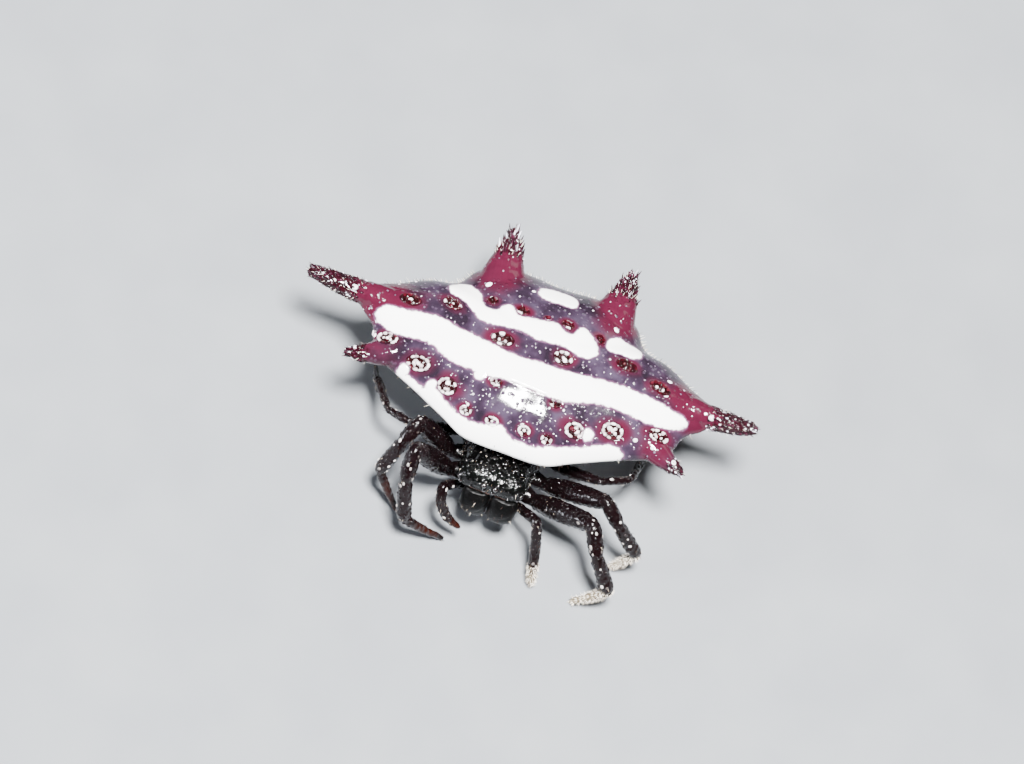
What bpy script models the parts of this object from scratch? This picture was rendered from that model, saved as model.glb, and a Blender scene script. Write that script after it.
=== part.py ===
# A female spiny orb weaver at life size, standing still with her legs drawn in.
# She faces -Y, +X is her left side and the floor is z = 0.
# Every length is in millimetres until an object is finished, then metres.

import math
import random

import bmesh
import bpy
from mathutils import Matrix, Vector
from mathutils.bvhtree import BVHTree

MM = 0.001
GAP = 0.07                  # clear space between two pieces that meet
SEED = 11

# Dorsal plate of the abdomen, half of its outline from the front middle to the rear middle
PLATE_HALF = [
    (0.00, -3.60), (1.40, -3.56), (2.35, -3.12), (3.50, -2.58), (4.65, -2.12), (5.26, -1.74),
    (5.58, -0.92), (6.10, -0.50), (6.48, 0.00), (6.08, 0.50), (5.36, 0.88), (4.40, 1.46),
    (3.42, 1.80), (2.88, 2.56), (2.10, 3.08), (1.20, 3.10), (0.00, 3.03),
]
PLATE_CENTRE = (0.0, -0.2)
PLATE_STEPS = 3             # points between two outline points
RIM_Z = 4.30                # height of the rim in the middle of the front and rear
RIM_SIDE_RISE = 0.50        # the rim climbs by this much out at the side spines
RIM_HALF_WIDTH = 6.48
CROWN_Z = 5.90
CROWN_POWER = 0.62          # 0.5 is an ellipse, 1 is a parabola
TOP_RINGS = [0.985, 0.93, 0.83, 0.68, 0.47, 0.22]
PLATE_THICK = 0.27          # rim to lower face
BELLY_TOP_Z = 4.08          # lower face of the plate in its middle

# Spines: root centre, tip, radii from root to tip, flattening, granules
MEDIAN_RADII = (0.50, 0.50, 0.41, 0.36, 0.32, 0.22)
FRONT_RADII = (0.48, 0.46, 0.39, 0.30, 0.21, 0.11)
REAR_RADII = (0.80, 0.75, 0.63, 0.46, 0.29, 0.12)
SPINES = {
    "median_left": ((5.15, 0.02, 4.87), (7.84, 0.02, 5.20), MEDIAN_RADII, 1.0, 22),
    "median_right": ((-5.15, 0.02, 4.87), (-8.26, 0.02, 5.20), MEDIAN_RADII, 1.0, 22),
    "front_left": ((4.70, -1.66, 4.70), (5.93, -2.30, 4.78), FRONT_RADII, 0.85, 10),
    "front_right": ((-4.70, -1.66, 4.70), (-6.14, -2.28, 4.78), FRONT_RADII, 0.85, 10),
    "rear_left": ((1.98, 2.15, 4.70), (2.14, 4.06, 5.36), REAR_RADII, 0.74, 14),
    "rear_right": ((-1.98, 2.15, 4.70), (-2.15, 4.10, 5.40), REAR_RADII, 0.74, 14),
}
SPINE_SIDES = 12
GRANULE_R = 0.062
GRANULE_SIDES = 4

# Sigilla, the oval muscle marks, by row from right to left: x, y, half length, half width, turn in degrees
SIGILLA = [
    (-4.65, 0.07, 0.40, 0.24, -9), (-3.27, 0.39, 0.38, 0.24, -34), (-2.03, 1.05, 0.20, 0.17, 0),
    (-0.97, 0.97, 0.25, 0.17, 0), (-0.09, 1.00, 0.12, 0.10, 0), (0.62, 1.05, 0.24, 0.18, -15),
    (1.80, 1.01, 0.20, 0.18, -20), (2.95, 0.40, 0.40, 0.26, -2), (4.25, 0.09, 0.40, 0.24, -6),
    (-1.28, -0.37, 0.40, 0.25, 5), (0.84, -0.27, 0.34, 0.26, 0),
    (-1.00, -1.84, 0.22, 0.16, 0), (1.10, -1.84, 0.20, 0.17, 0),
    (-4.93, -1.39, 0.42, 0.22, 3), (-3.67, -1.94, 0.45, 0.28, 11), (-2.50, -2.37, 0.36, 0.30, 0),
    (-1.64, -2.93, 0.22, 0.17, 0), (-0.69, -3.02, 0.24, 0.17, 0), (0.43, -2.96, 0.22, 0.18, 0),
    (1.23, -2.97, 0.20, 0.17, 0), (2.01, -2.37, 0.36, 0.28, 0), (3.22, -1.91, 0.40, 0.30, 0),
    (4.74, -1.43, 0.40, 0.22, 0),
]
SIGILLUM_RIM = 0.085        # crest above the plate
SIGILLUM_SIDES = 10

# Belly: height, half width, half length and centre y of each section, top to bottom
BELLY_SECTIONS = [
    (3.84, 4.70, 2.62, 0.00), (3.62, 3.70, 2.12, 0.22), (3.36, 3.12, 1.90, 0.34), (3.02, 2.66, 1.68, 0.44),
    (2.62, 2.16, 1.46, 0.52), (2.22, 1.72, 1.24, 0.57), (1.86, 1.34, 1.04, 0.60), (1.56, 1.02, 0.84, 0.60),
    (1.32, 0.78, 0.70, 0.60),
]
BELLY_SIDES = 44
BELLY_FOLD = 0.05           # height of the shallow folds down the flanks
BELLY_FOLDS = 9

SPINNERET_RING_Z = (1.25, 0.98)
SPINNERET_RING_R = (0.62, 0.50)
SPINNERETS = [(0.20, 0.42, 0.17, 0.56), (0.20, 0.80, 0.17, 0.58), (0.08, 0.61, 0.10, 0.66)]

# Carapace: y, half width, top z and lower edge z of each section, rear to front
CARAPACE_SECTIONS = [
    (-1.42, 0.62, 2.86, 2.42), (-1.62, 0.98, 3.00, 2.38), (-1.95, 1.26, 3.14, 2.36),
    (-2.35, 1.42, 3.28, 2.36), (-2.80, 1.40, 3.44, 2.36), (-3.20, 1.30, 3.60, 2.36),
    (-3.55, 1.24, 3.73, 2.40), (-3.90, 1.23, 3.80, 2.62), (-4.15, 1.21, 3.80, 2.92),
    (-4.38, 1.15, 3.74, 2.96), (-4.54, 1.02, 3.60, 2.99), (-4.62, 0.80, 3.42, 3.05),
]
CARAPACE_SIDES = 30
EYE_SOCKET_GAP = 0.03
EYES = {                    # x and z on the face, radius, how far round to the side it looks in degrees
    "front_median": (0.16, 3.28, 0.095, 0),
    "rear_median": (0.20, 3.50, 0.105, 0),
    "front_lateral": (0.96, 3.22, 0.080, 30),
    "rear_lateral": (1.08, 3.34, 0.085, 58),
}

STERNUM_Z = (1.72, 2.28)
STERNUM_OUTLINE = [(0.16, -1.52), (0.42, -1.90), (0.56, -2.40), (0.58, -2.90), (0.50, -3.30), (0.28, -3.46),
                   (0.22, -3.62)]
PEDICEL_R = 0.27
PEDICEL_Z = 2.62

# Chelicerae: z, x and y of the section's centre, half width, half depth
CHELICERA_SECTIONS = [
    (2.90, 0.50, -4.42, 0.38, 0.25), (2.66, 0.50, -4.52, 0.45, 0.33), (2.34, 0.50, -4.58, 0.48, 0.36),
    (2.00, 0.49, -4.58, 0.46, 0.35), (1.72, 0.47, -4.56, 0.39, 0.31), (1.54, 0.45, -4.52, 0.28, 0.23),
    (1.47, 0.44, -4.50, 0.15, 0.13),
]
CHELICERA_SWING = {"left": 0.16, "right": 0.12}     # both hang a little to her left
CHELICERA_SIDES = 14
FANG = [(0.56, -4.47, 1.62, 0.13), (0.46, -4.42, 1.34, 0.10), (0.22, -4.38, 1.30, 0.05)]

# Palps: places along each one, with its radius there
PALPS = {
    "left": [((0.28, -3.90, 1.74), 0.17), ((0.72, -3.95, 1.78), 0.18), ((1.08, -4.04, 1.88), 0.19),
             ((1.46, -4.42, 2.30), 0.22), ((1.87, -4.72, 2.58), 0.24), ((2.03, -4.98, 2.10), 0.24),
             ((2.16, -5.22, 1.50), 0.25), ((2.27, -5.48, 1.00), 0.24), ((2.38, -5.76, 0.52), 0.18),
             ((2.44, -5.92, 0.22), 0.09)],
    "right": [((-0.28, -3.90, 1.74), 0.17), ((-0.72, -3.95, 1.78), 0.18), ((-1.08, -4.04, 1.88), 0.19),
              ((-1.30, -4.40, 2.36), 0.22), ((-1.50, -4.80, 2.80), 0.24), ((-1.42, -5.08, 2.42), 0.24),
              ((-1.26, -5.17, 1.98), 0.24), ((-1.02, -5.21, 1.58), 0.22), ((-0.72, -5.22, 1.30), 0.17),
              ((-0.45, -5.22, 1.15), 0.09)],
}
PALP_SIDES = 8

# Legs, first pair to fourth. The hip and trochanter mirror; the pose of each side is its own.
HIP_Z = 2.00
HIPS = [((0.76, -3.40), (1.52, -3.74)), ((0.80, -2.80), (1.66, -3.02)), ((0.80, -2.20), (1.66, -2.24)),
        ((0.72, -1.62), (1.42, -1.42))]
TROCHANTER_Z = 2.05
# knee, end of the patella, end of the tibia, toe
LEG_POSES = {
    "left": [
        ((3.69, -4.62, 3.60), (4.17, -5.35, 2.90), (4.94, -5.75, 1.50), (3.81, -5.92)),
        ((3.88, -3.70, 3.70), (4.49, -4.11, 3.20), (5.44, -4.19, 1.72), (4.70, -4.16)),
        ((3.46, -2.69, 3.00), (4.43, -2.04, 2.60), (4.60, -0.60, 1.70), (4.50, 0.50)),
        ((3.30, -0.30, 2.98), (3.90, 0.50, 2.75), (4.25, 1.70, 1.60), (3.75, 2.60)),
    ],
    "right": [
        ((-2.78, -4.56, 4.30), (-2.74, -5.35, 3.40), (-2.38, -5.86, 1.70), (-0.83, -5.25)),
        ((-2.97, -3.38, 4.00), (-3.26, -4.06, 3.50), (-3.71, -4.61, 2.00), (-2.57, -4.98)),
        ((-3.31, -3.03, 3.00), (-4.15, -2.69, 2.70), (-4.95, -1.20, 1.90), (-5.15, 0.30)),
        ((-3.30, -0.30, 2.98), (-3.90, 0.50, 2.75), (-4.30, 1.75, 1.60), (-3.85, 2.65)),
    ],
}
# radius of each pair at hip, trochanter, mid femur, knee, patella end, mid tibia, tibia end, tarsus, toe
LEG_RADII = [
    (0.26, 0.27, 0.37, 0.29, 0.26, 0.27, 0.26, 0.18, 0.12),
    (0.26, 0.27, 0.34, 0.27, 0.25, 0.26, 0.25, 0.18, 0.12),
    (0.25, 0.25, 0.26, 0.25, 0.25, 0.25, 0.25, 0.17, 0.12),
    (0.26, 0.27, 0.30, 0.25, 0.24, 0.26, 0.25, 0.18, 0.12),
]
LEG_SIDES = 8
TOE_RISE = 0.16             # height of the last section above the toe's flat

FINISHES = {
    "plate": ((0.30, 0.05, 0.09), 0.35),
    "belly": ((0.06, 0.04, 0.04), 0.50),
    "shell": ((0.03, 0.02, 0.02), 0.35),
    "leg": ((0.06, 0.03, 0.03), 0.40),
    "eye": ((0.01, 0.01, 0.01), 0.08),
}

rng = random.Random(SEED)


def clear_scene():
    for obj in list(bpy.data.objects):
        bpy.data.objects.remove(obj, do_unlink=True)


def finish_material(name):
    made = bpy.data.materials.get(name)
    if made:
        return made
    colour, roughness = FINISHES[name]
    made = bpy.data.materials.new(name)
    made.use_nodes = True
    shader = made.node_tree.nodes["Principled BSDF"]
    shader.inputs["Base Color"].default_value = (*colour, 1.0)
    shader.inputs["Roughness"].default_value = roughness
    shader.inputs["Metallic"].default_value = 0.0
    return made


def raw_object(name, verts, faces):
    mesh = bpy.data.meshes.new(name)
    mesh.from_pydata([tuple(v) for v in verts], [], faces)
    bm = bmesh.new()
    bm.from_mesh(mesh)
    bmesh.ops.recalc_face_normals(bm, faces=bm.faces)
    if bm.calc_volume(signed=True) < 0:
        bmesh.ops.reverse_faces(bm, faces=bm.faces)
    bm.to_mesh(mesh)
    bm.free()
    obj = bpy.data.objects.new(name, mesh)
    bpy.context.scene.collection.objects.link(obj)
    return obj


def loft(name, rings):
    """Close a stack of rings of equal count, with a fan over each end."""
    count = len(rings[0])
    verts = [point for ring in rings for point in ring]
    faces = []
    for row in range(len(rings) - 1):
        low, high = row * count, (row + 1) * count
        for i in range(count):
            j = (i + 1) % count
            faces.append((low + i, low + j, high + j, high + i))
    for ring_start, ring in ((0, rings[0]), ((len(rings) - 1) * count, rings[-1])):
        middle = sum((Vector(p) for p in ring), Vector()) / count
        verts.append(middle)
        for i in range(count):
            faces.append((ring_start + i, ring_start + (i + 1) % count, len(verts) - 1))
    return raw_object(name, verts, faces)


def apply_modifiers(obj):
    graph = bpy.context.evaluated_depsgraph_get()
    mesh = bpy.data.meshes.new_from_object(obj.evaluated_get(graph))
    obj.modifiers.clear()
    obj.data = mesh


def keep_largest_surface(obj):
    bm = bmesh.new()
    bm.from_mesh(obj.data)
    left = set(bm.faces)
    shells = []
    while left:
        stack = [left.pop()]
        shell = list(stack)
        while stack:
            for edge in stack.pop().edges:
                for face in edge.link_faces:
                    if face in left:
                        left.remove(face)
                        shell.append(face)
                        stack.append(face)
        shells.append(shell)
    shells.sort(key=lambda faces: sum(f.calc_area() for f in faces))
    for shell in shells[:-1]:
        bmesh.ops.delete(bm, geom=shell, context="FACES")
    loose = [v for v in bm.verts if not v.link_faces]
    bmesh.ops.delete(bm, geom=loose, context="VERTS")
    bm.to_mesh(obj.data)
    bm.free()


def fuse(base, grown, solver="EXACT"):
    """Union of a piece with all that grows from it, as one closed surface."""
    if not grown:
        return base
    group = bpy.data.collections.new(base.name + "_grown")
    bpy.context.scene.collection.children.link(group)
    for obj in grown:
        bpy.context.scene.collection.objects.unlink(obj)
        group.objects.link(obj)
    union = base.modifiers.new("grown", "BOOLEAN")
    union.operation = "UNION"
    union.operand_type = "COLLECTION"
    union.collection = group
    union.solver = solver
    apply_modifiers(base)
    for obj in list(group.objects):
        bpy.data.objects.remove(obj, do_unlink=True)
    bpy.data.collections.remove(group)
    keep_largest_surface(base)
    return base


def cut(base, cutters):
    for cutter in cutters:
        hole = base.modifiers.new("hole", "BOOLEAN")
        hole.operation = "DIFFERENCE"
        hole.object = cutter
        hole.solver = "EXACT"
    apply_modifiers(base)
    for cutter in cutters:
        bpy.data.objects.remove(cutter, do_unlink=True)
    keep_largest_surface(base)
    return base


def frame_along(axis, upright=Vector((0, 0, 1))):
    """Two unit vectors square to an axis."""
    side = axis.cross(upright)
    if side.length < 1e-3:
        side = axis.cross(Vector((0, 1, 0)))
    side.normalize()
    return side, side.cross(axis).normalized()


def ring_around(centre, side, up, radius, count, flat=1.0):
    points = []
    for i in range(count):
        turn = 2 * math.pi * i / count
        points.append(centre + side * (radius * math.cos(turn)) + up * (radius * flat * math.sin(turn)))
    return points


def slide_to_plane(ring, axis, origin, normal):
    return [p + axis * ((origin - p).dot(normal) / axis.dot(normal)) for p in ring]


def tube(name, centres, radii, sides, flat=1.0, start_plane=None, end_plane=None):
    """A tapered limb. A plane is a place and a normal that its end is cut square to."""
    centres = [Vector(c) for c in centres]
    rings = []
    side = None
    for i, centre in enumerate(centres):
        before = centres[max(i - 1, 0)]
        after = centres[min(i + 1, len(centres) - 1)]
        axis = (after - before).normalized()
        if side is None:
            side, up = frame_along(axis)
        else:
            side = (side - axis * side.dot(axis)).normalized()
            up = side.cross(axis).normalized()
        rings.append(ring_around(centre, side, up, radii[i], sides, flat))
    if start_plane:
        axis = (centres[1] - centres[0]).normalized()
        rings[0] = slide_to_plane(rings[0], axis, *start_plane)
    if end_plane:
        axis = (centres[-1] - centres[-2]).normalized()
        rings[-1] = slide_to_plane(rings[-1], axis, *end_plane)
    return loft(name, rings)


def along(start, end, share):
    return Vector(start).lerp(Vector(end), share)


def closed_curve(points, steps):
    """A smooth closed curve through the points, steps to each span."""
    count = len(points)
    out = []
    for i in range(count):
        p0, p1, p2, p3 = (Vector(points[(i + k - 1) % count]) for k in range(4))
        for step in range(steps):
            t = step / steps
            out.append(0.5 * ((2 * p1) + (p2 - p0) * t + (2 * p0 - 5 * p1 + 4 * p2 - p3) * t * t
                              + (3 * p1 - p0 - 3 * p2 + p3) * t ** 3))
    return out


def plate_outline():
    right = [(-x, y) for x, y in PLATE_HALF[1:-1]]
    return closed_curve(PLATE_HALF + right[::-1], PLATE_STEPS)


OUTLINE = plate_outline()


def rim_height(x):
    return RIM_Z + RIM_SIDE_RISE * (x / RIM_HALF_WIDTH) ** 2


def plate_ring(share, height):
    """One ring of the plate, at a share of the way out to the rim."""
    ring = []
    for edge in OUTLINE:
        x = PLATE_CENTRE[0] + (edge.x - PLATE_CENTRE[0]) * share
        y = PLATE_CENTRE[1] + (edge.y - PLATE_CENTRE[1]) * share
        ring.append(Vector((x, y, height(edge.x, share))))
    return ring


def top_height(edge_x, share):
    rim = rim_height(edge_x)
    return rim + (CROWN_Z - rim) * (1 - share * share) ** CROWN_POWER


def lower_height(edge_x, share):
    """Lower face of the plate, which the belly follows."""
    blend = min(max((share - 0.55) / 0.40, 0.0), 1.0)
    blend = blend * blend * (3 - 2 * blend)
    return BELLY_TOP_Z + (rim_height(edge_x) - PLATE_THICK - BELLY_TOP_Z) * blend


def spine(name, root, tip, radii, flat, granules):
    """A spine that curves a little upward, with granules set round its outer part."""
    root, tip = Vector(root), Vector(tip)
    shares = [i / (len(radii) - 1) for i in range(len(radii))]
    bow = Vector((0, 0, 0.10))
    centres = [root.lerp(tip, s) - bow * math.sin(math.pi * s) for s in shares]
    centres.insert(-1, centres[-2].lerp(centres[-1], 0.62))
    widths = list(radii[:-1]) + [radii[-2] * 0.92, radii[-1] * 0.72]
    centres[-1] = tip
    made = [tube(name, centres, widths, SPINE_SIDES, flat)]
    axis = (tip - root).normalized()
    side, up = frame_along(axis)
    for i in range(granules):
        share = 0.50 + 0.46 * (i + 0.5) / granules
        turn = 2.399963 * i + rng.uniform(-0.25, 0.25)
        place = share * (len(radii) - 1)
        low = min(int(place), len(radii) - 2)
        radius = radii[low] + (radii[low + 1] - radii[low]) * (place - low)
        centre = root.lerp(tip, share) - bow * math.sin(math.pi * share)
        out = side * math.cos(turn) + up * (flat * math.sin(turn))
        size = GRANULE_R * rng.uniform(0.75, 1.2)
        foot = centre + out * (radius - size * 1.3)
        head = centre + out * (radius + size * 0.75) + axis * size * 0.5
        made.append(tube(name + "_granule", [foot, head], [size, size * 0.45], GRANULE_SIDES))
    return made


def sigillum(name, x, y, half_length, half_width, turned, surface):
    """An oval button with a raised rim and a sunken middle, square to the plate."""
    above = Vector((x, y, CROWN_Z + 2))
    place, normal, _, _ = surface.ray_cast(above, Vector((0, 0, -1)))
    length_way = Vector((math.cos(math.radians(turned)), math.sin(math.radians(turned)), 0))
    across = normal.cross(length_way).normalized()
    length_way = across.cross(normal).normalized()
    profile = [(0.92, -0.16), (1.0, 0.0), (0.80, SIGILLUM_RIM), (0.52, SIGILLUM_RIM * 0.35)]
    rings = []
    for share, height in profile:
        ring = []
        for i in range(SIGILLUM_SIDES):
            turn = 2 * math.pi * (i + 0.5) / SIGILLUM_SIDES
            ring.append(place + normal * height + length_way * (half_length * share * math.cos(turn))
                        + across * (half_width * share * math.sin(turn)))
        rings.append(ring)
    return loft(name, rings)


def abdomen_shield():
    lower_rings = [plate_ring(s, lower_height) for s in (0.25, 0.55, 0.78, 0.92)]
    lip = plate_ring(0.975, lambda x, s: rim_height(x) - 0.17)
    rim = plate_ring(1.0, lambda x, s: rim_height(x))
    top_rings = [plate_ring(s, top_height) for s in TOP_RINGS]
    plate = loft("abdomen_shield", lower_rings + [lip, rim] + top_rings)
    bm = bmesh.new()
    bm.from_mesh(plate.data)
    surface = BVHTree.FromBMesh(bm)
    bm.free()
    grown = []
    for name, (root, tip, radii, flat, granules) in SPINES.items():
        grown += spine(name, root, tip, radii, flat, granules)
    for i, sizes in enumerate(SIGILLA):
        grown.append(sigillum(f"sigillum_{i}", *sizes, surface))
    return fuse(plate, grown)


def belly_ring(z, half_width, half_length, centre_y, fold):
    ring = []
    for i in range(BELLY_SIDES):
        turn = 2 * math.pi * i / BELLY_SIDES
        ripple = 1 + fold * math.cos(BELLY_FOLDS * 2 * turn) / half_width
        ring.append(Vector((half_width * ripple * math.sin(turn),
                            centre_y - half_length * ripple * math.cos(turn), z)))
    return ring


def abdomen_underside():
    rings = []
    for share in (0.30, 0.60, 0.80):
        ring = []
        for i in range(BELLY_SIDES):
            edge = OUTLINE[round(i * len(OUTLINE) / BELLY_SIDES) % len(OUTLINE)]
            ring.append(Vector((edge.x * share, PLATE_CENTRE[1] + (edge.y - PLATE_CENTRE[1]) * share,
                                lower_height(edge.x, share) - GAP)))
        rings.append(ring)
    skirt = [Vector((p.x, p.y, p.z - 0.14)) for p in rings[-1]]
    rings.append(skirt)
    for i, (z, half_width, half_length, centre_y) in enumerate(BELLY_SECTIONS):
        fold = BELLY_FOLD * math.sin(math.pi * i / (len(BELLY_SECTIONS) - 1))
        rings.append(belly_ring(z, half_width, half_length, centre_y, fold))
    return loft("abdomen_underside", rings)


def spinnerets():
    centre_y = BELLY_SECTIONS[-1][3]
    rings = []
    for z, radius in zip(SPINNERET_RING_Z, SPINNERET_RING_R):
        rings.append(ring_around(Vector((0, centre_y, z)), Vector((1, 0, 0)), Vector((0, 1, 0)), radius, 18))
    collar = loft("spinnerets", rings)
    cones = []
    for x, y, radius, tip_z in SPINNERETS:
        for hand in (1, -1):
            root = Vector((x * hand * 1.1, y, SPINNERET_RING_Z[0] - 0.12))
            tip = Vector((x * hand * 0.75, y, tip_z))
            cones.append(tube("spinneret", [root, along(root, tip, 0.7), tip],
                              [radius, radius * 0.85, radius * 0.4], 8))
    return fuse(collar, cones)


def pedicel():
    rear_of_carapace = CARAPACE_SECTIONS[0][0]
    belly_front = -0.93
    start = Vector((0, rear_of_carapace + GAP, PEDICEL_Z))
    end = Vector((0, belly_front - GAP, PEDICEL_Z + 0.02))
    return tube("pedicel", [start, along(start, end, 0.5), end], [PEDICEL_R, PEDICEL_R * 0.85, PEDICEL_R], 12)


def carapace_ring(y, half_width, top, low):
    """A section that is flat below, steep at the sides and rounded above."""
    ring = []
    middle = low + (top - low) * 0.42
    for i in range(CARAPACE_SIDES):
        turn = 2 * math.pi * i / CARAPACE_SIDES
        c, s = math.cos(turn), math.sin(turn)
        x = half_width * math.copysign(abs(c) ** 0.72, c)
        if s >= 0:
            z = middle + (top - middle) * s ** 0.85
        else:
            z = middle + (middle - low) * math.copysign(abs(s) ** 0.55, s)
        ring.append(Vector((x, y, z)))
    return ring


def eye_place(surface, x, z, swing):
    """Where a line from in front and from the side meets the carapace."""
    hand = math.copysign(1, x)
    inward = Vector((-hand * math.sin(math.radians(swing)), math.cos(math.radians(swing)), 0))
    aim = Vector((x, CARAPACE_SECTIONS[-1][0] + 0.18, z))
    place, _, _, _ = surface.ray_cast(aim - inward * 3, inward)
    return place + inward * 0.01


def carapace_and_eyes():
    shell = loft("carapace", [carapace_ring(*section) for section in CARAPACE_SECTIONS])
    bm = bmesh.new()
    bm.from_mesh(shell.data)
    surface = BVHTree.FromBMesh(bm)
    bm.free()
    eyes, sockets = [], []
    for name, (x, z, radius, swing) in EYES.items():
        for side, hand in (("left", 1), ("right", -1)):
            place = eye_place(surface, x * hand, z, swing)
            eyes.append(ball(f"eye_{name}_{side}", place, radius, 2))
            sockets.append(ball("socket", place, radius + EYE_SOCKET_GAP, 2))
    return cut(shell, sockets), eyes


def ball(name, centre, radius, detail):
    mesh = bpy.data.meshes.new(name)
    bm = bmesh.new()
    bmesh.ops.create_icosphere(bm, subdivisions=detail, radius=radius, matrix=Matrix.Translation(centre))
    bm.to_mesh(mesh)
    bm.free()
    obj = bpy.data.objects.new(name, mesh)
    bpy.context.scene.collection.objects.link(obj)
    return obj


def sternum():
    low, high = STERNUM_Z
    outline = [(x, y) for x, y in STERNUM_OUTLINE]
    outline += [(-x, y) for x, y in STERNUM_OUTLINE[::-1]]
    levels = [(low, 0.80), (low + 0.10, 0.97), (low + 0.25, 1.0), (high - 0.1, 0.95), (high, 0.90)]
    middle_y = sum(y for _, y in outline) / len(outline)
    rings = []
    for z, share in levels:
        rings.append([Vector((x * share, middle_y + (y - middle_y) * share, z)) for x, y in outline])
    return loft("sternum", rings)


def chelicera(side, hand):
    swing = CHELICERA_SWING[side]
    rings = []
    for z, x, y, half_width, half_depth in CHELICERA_SECTIONS:
        ring = []
        for i in range(CHELICERA_SIDES):
            turn = 2 * math.pi * i / CHELICERA_SIDES
            c, s = math.cos(turn), math.sin(turn)
            ring.append(Vector((hand * (x + half_width * math.copysign(abs(c) ** 0.8, c)) + swing,
                                y + half_depth * math.copysign(abs(s) ** 0.8, s), z)))
        rings.append(ring)
    body = loft(f"chelicera_{side}", rings)
    fang = tube("fang", [(x * hand + swing, y, z) for x, y, z, _ in FANG], [r for _, _, _, r in FANG], 8)
    return fuse(body, [fang])


def palp(side):
    places = PALPS[side]
    return tube(f"palp_{side}", [p for p, _ in places], [r for _, r in places], PALP_SIDES)


def mitre(before, joint, after):
    """The plane that halves the bend at a joint, for the piece before it and the piece after."""
    came = (joint - before).normalized()
    goes = (after - joint).normalized()
    normal = (came + goes).normalized()
    return (joint - normal * GAP / 2, normal), (joint + normal * GAP / 2, normal)


def leg(side, pair):
    hand = 1 if side == "left" else -1
    hip, trochanter = HIPS[pair]
    hip = Vector((hip[0] * hand, hip[1], HIP_Z))
    trochanter = Vector((trochanter[0] * hand, trochanter[1], TROCHANTER_Z))
    knee, shin, ankle, toe = LEG_POSES[side][pair]
    knee, shin, ankle = Vector(knee), Vector(shin), Vector(ankle)
    toe = Vector((*toe, 0.0))
    r_hip, r_troch, r_femur, r_knee, r_shin, r_tibia, r_ankle, r_tarsus, r_toe = LEG_RADII[pair]
    name = f"leg_{pair + 1}_{side}"

    knee_end, knee_start = mitre(trochanter, knee, shin)
    ankle_end, ankle_start = mitre(shin, ankle, toe)

    shares = (0.14, 0.34, 0.62, 0.86)
    centres = [hip, trochanter] + [along(trochanter, knee, s) for s in shares] + [knee]
    radii = [r_hip, r_troch, r_troch * 1.04, r_femur, r_femur * 0.98, r_knee * 1.04, r_knee]
    femur = tube(name + "_femur", centres, radii, LEG_SIDES, end_plane=knee_end)

    centres = [knee, along(knee, shin, 0.45), shin]
    centres += [along(shin, ankle, s) for s in (0.22, 0.52, 0.82)] + [ankle]
    radii = [r_knee, r_knee * 1.05, r_shin, r_shin * 1.05, r_tibia, r_ankle * 1.02, r_ankle]
    tibia = tube(name + "_tibia", centres, radii, LEG_SIDES, start_plane=knee_start, end_plane=ankle_end)

    sag = Vector((0, 0, -0.10))
    centres = [ankle] + [along(ankle, toe, s) + sag * math.sin(math.pi * s) for s in (0.22, 0.5, 0.76)]
    heel = along(centres[-1], toe, 0.62)
    heel.z = TOE_RISE
    centres += [heel, toe]
    radii = [r_ankle, r_ankle * 0.96, r_tarsus * 1.15, r_tarsus, r_toe * 1.15, r_toe]
    foot = tube(name + "_foot", centres, radii, LEG_SIDES, start_plane=ankle_start)
    flatten_toe(foot)
    return femur, tibia, foot


def flatten_toe(foot):
    """Lay the last section of a foot flat on the floor; loft puts its middle last."""
    last_ring = foot.data.vertices[-LEG_SIDES - 2:-2]
    for vertex in list(last_ring) + [foot.data.vertices[-1]]:
        vertex.co.z = 0.0


def finish(obj, material):
    """Give the piece its finish and bring it to metres."""
    obj.data.materials.clear()
    obj.data.materials.append(finish_material(material))
    obj.data.transform(Matrix.Scale(MM, 4))
    obj.data.shade_smooth()
    obj.data.set_sharp_from_angle(angle=math.radians(40))


def stand_on_origin(objects):
    """Move all pieces so that the origin is the middle of the base of the whole box."""
    corners = [obj.matrix_world @ v.co for obj in objects for v in obj.data.vertices]
    low = [min(c[k] for c in corners) for k in range(3)]
    high = [max(c[k] for c in corners) for k in range(3)]
    shift = Vector((-(low[0] + high[0]) / 2, -(low[1] + high[1]) / 2, -low[2]))
    for obj in objects:
        obj.data.transform(Matrix.Translation(shift))
    print("moved by", [round(v / MM, 4) for v in shift])


def main():
    clear_scene()
    made = [(abdomen_shield(), "plate"), (abdomen_underside(), "belly"), (spinnerets(), "belly"),
            (pedicel(), "belly"), (sternum(), "shell")]
    shell, eyes = carapace_and_eyes()
    made.append((shell, "shell"))
    made += [(eye, "eye") for eye in eyes]
    for side, hand in (("left", 1), ("right", -1)):
        made.append((chelicera(side, hand), "shell"))
        made.append((palp(side), "leg"))
        for pair in range(4):
            made += [(piece, "leg") for piece in leg(side, pair)]
    for obj, material in made:
        finish(obj, material)
    stand_on_origin([obj for obj, _ in made])


main()
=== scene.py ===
# Looks for a life-size spiny orb weaver: lacquered banded shield with thorns, black head and bristly legs.
import math

import bmesh
import bpy
import numpy as np
from mathutils import Matrix, Vector
from mathutils.bvhtree import BVHTree


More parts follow.
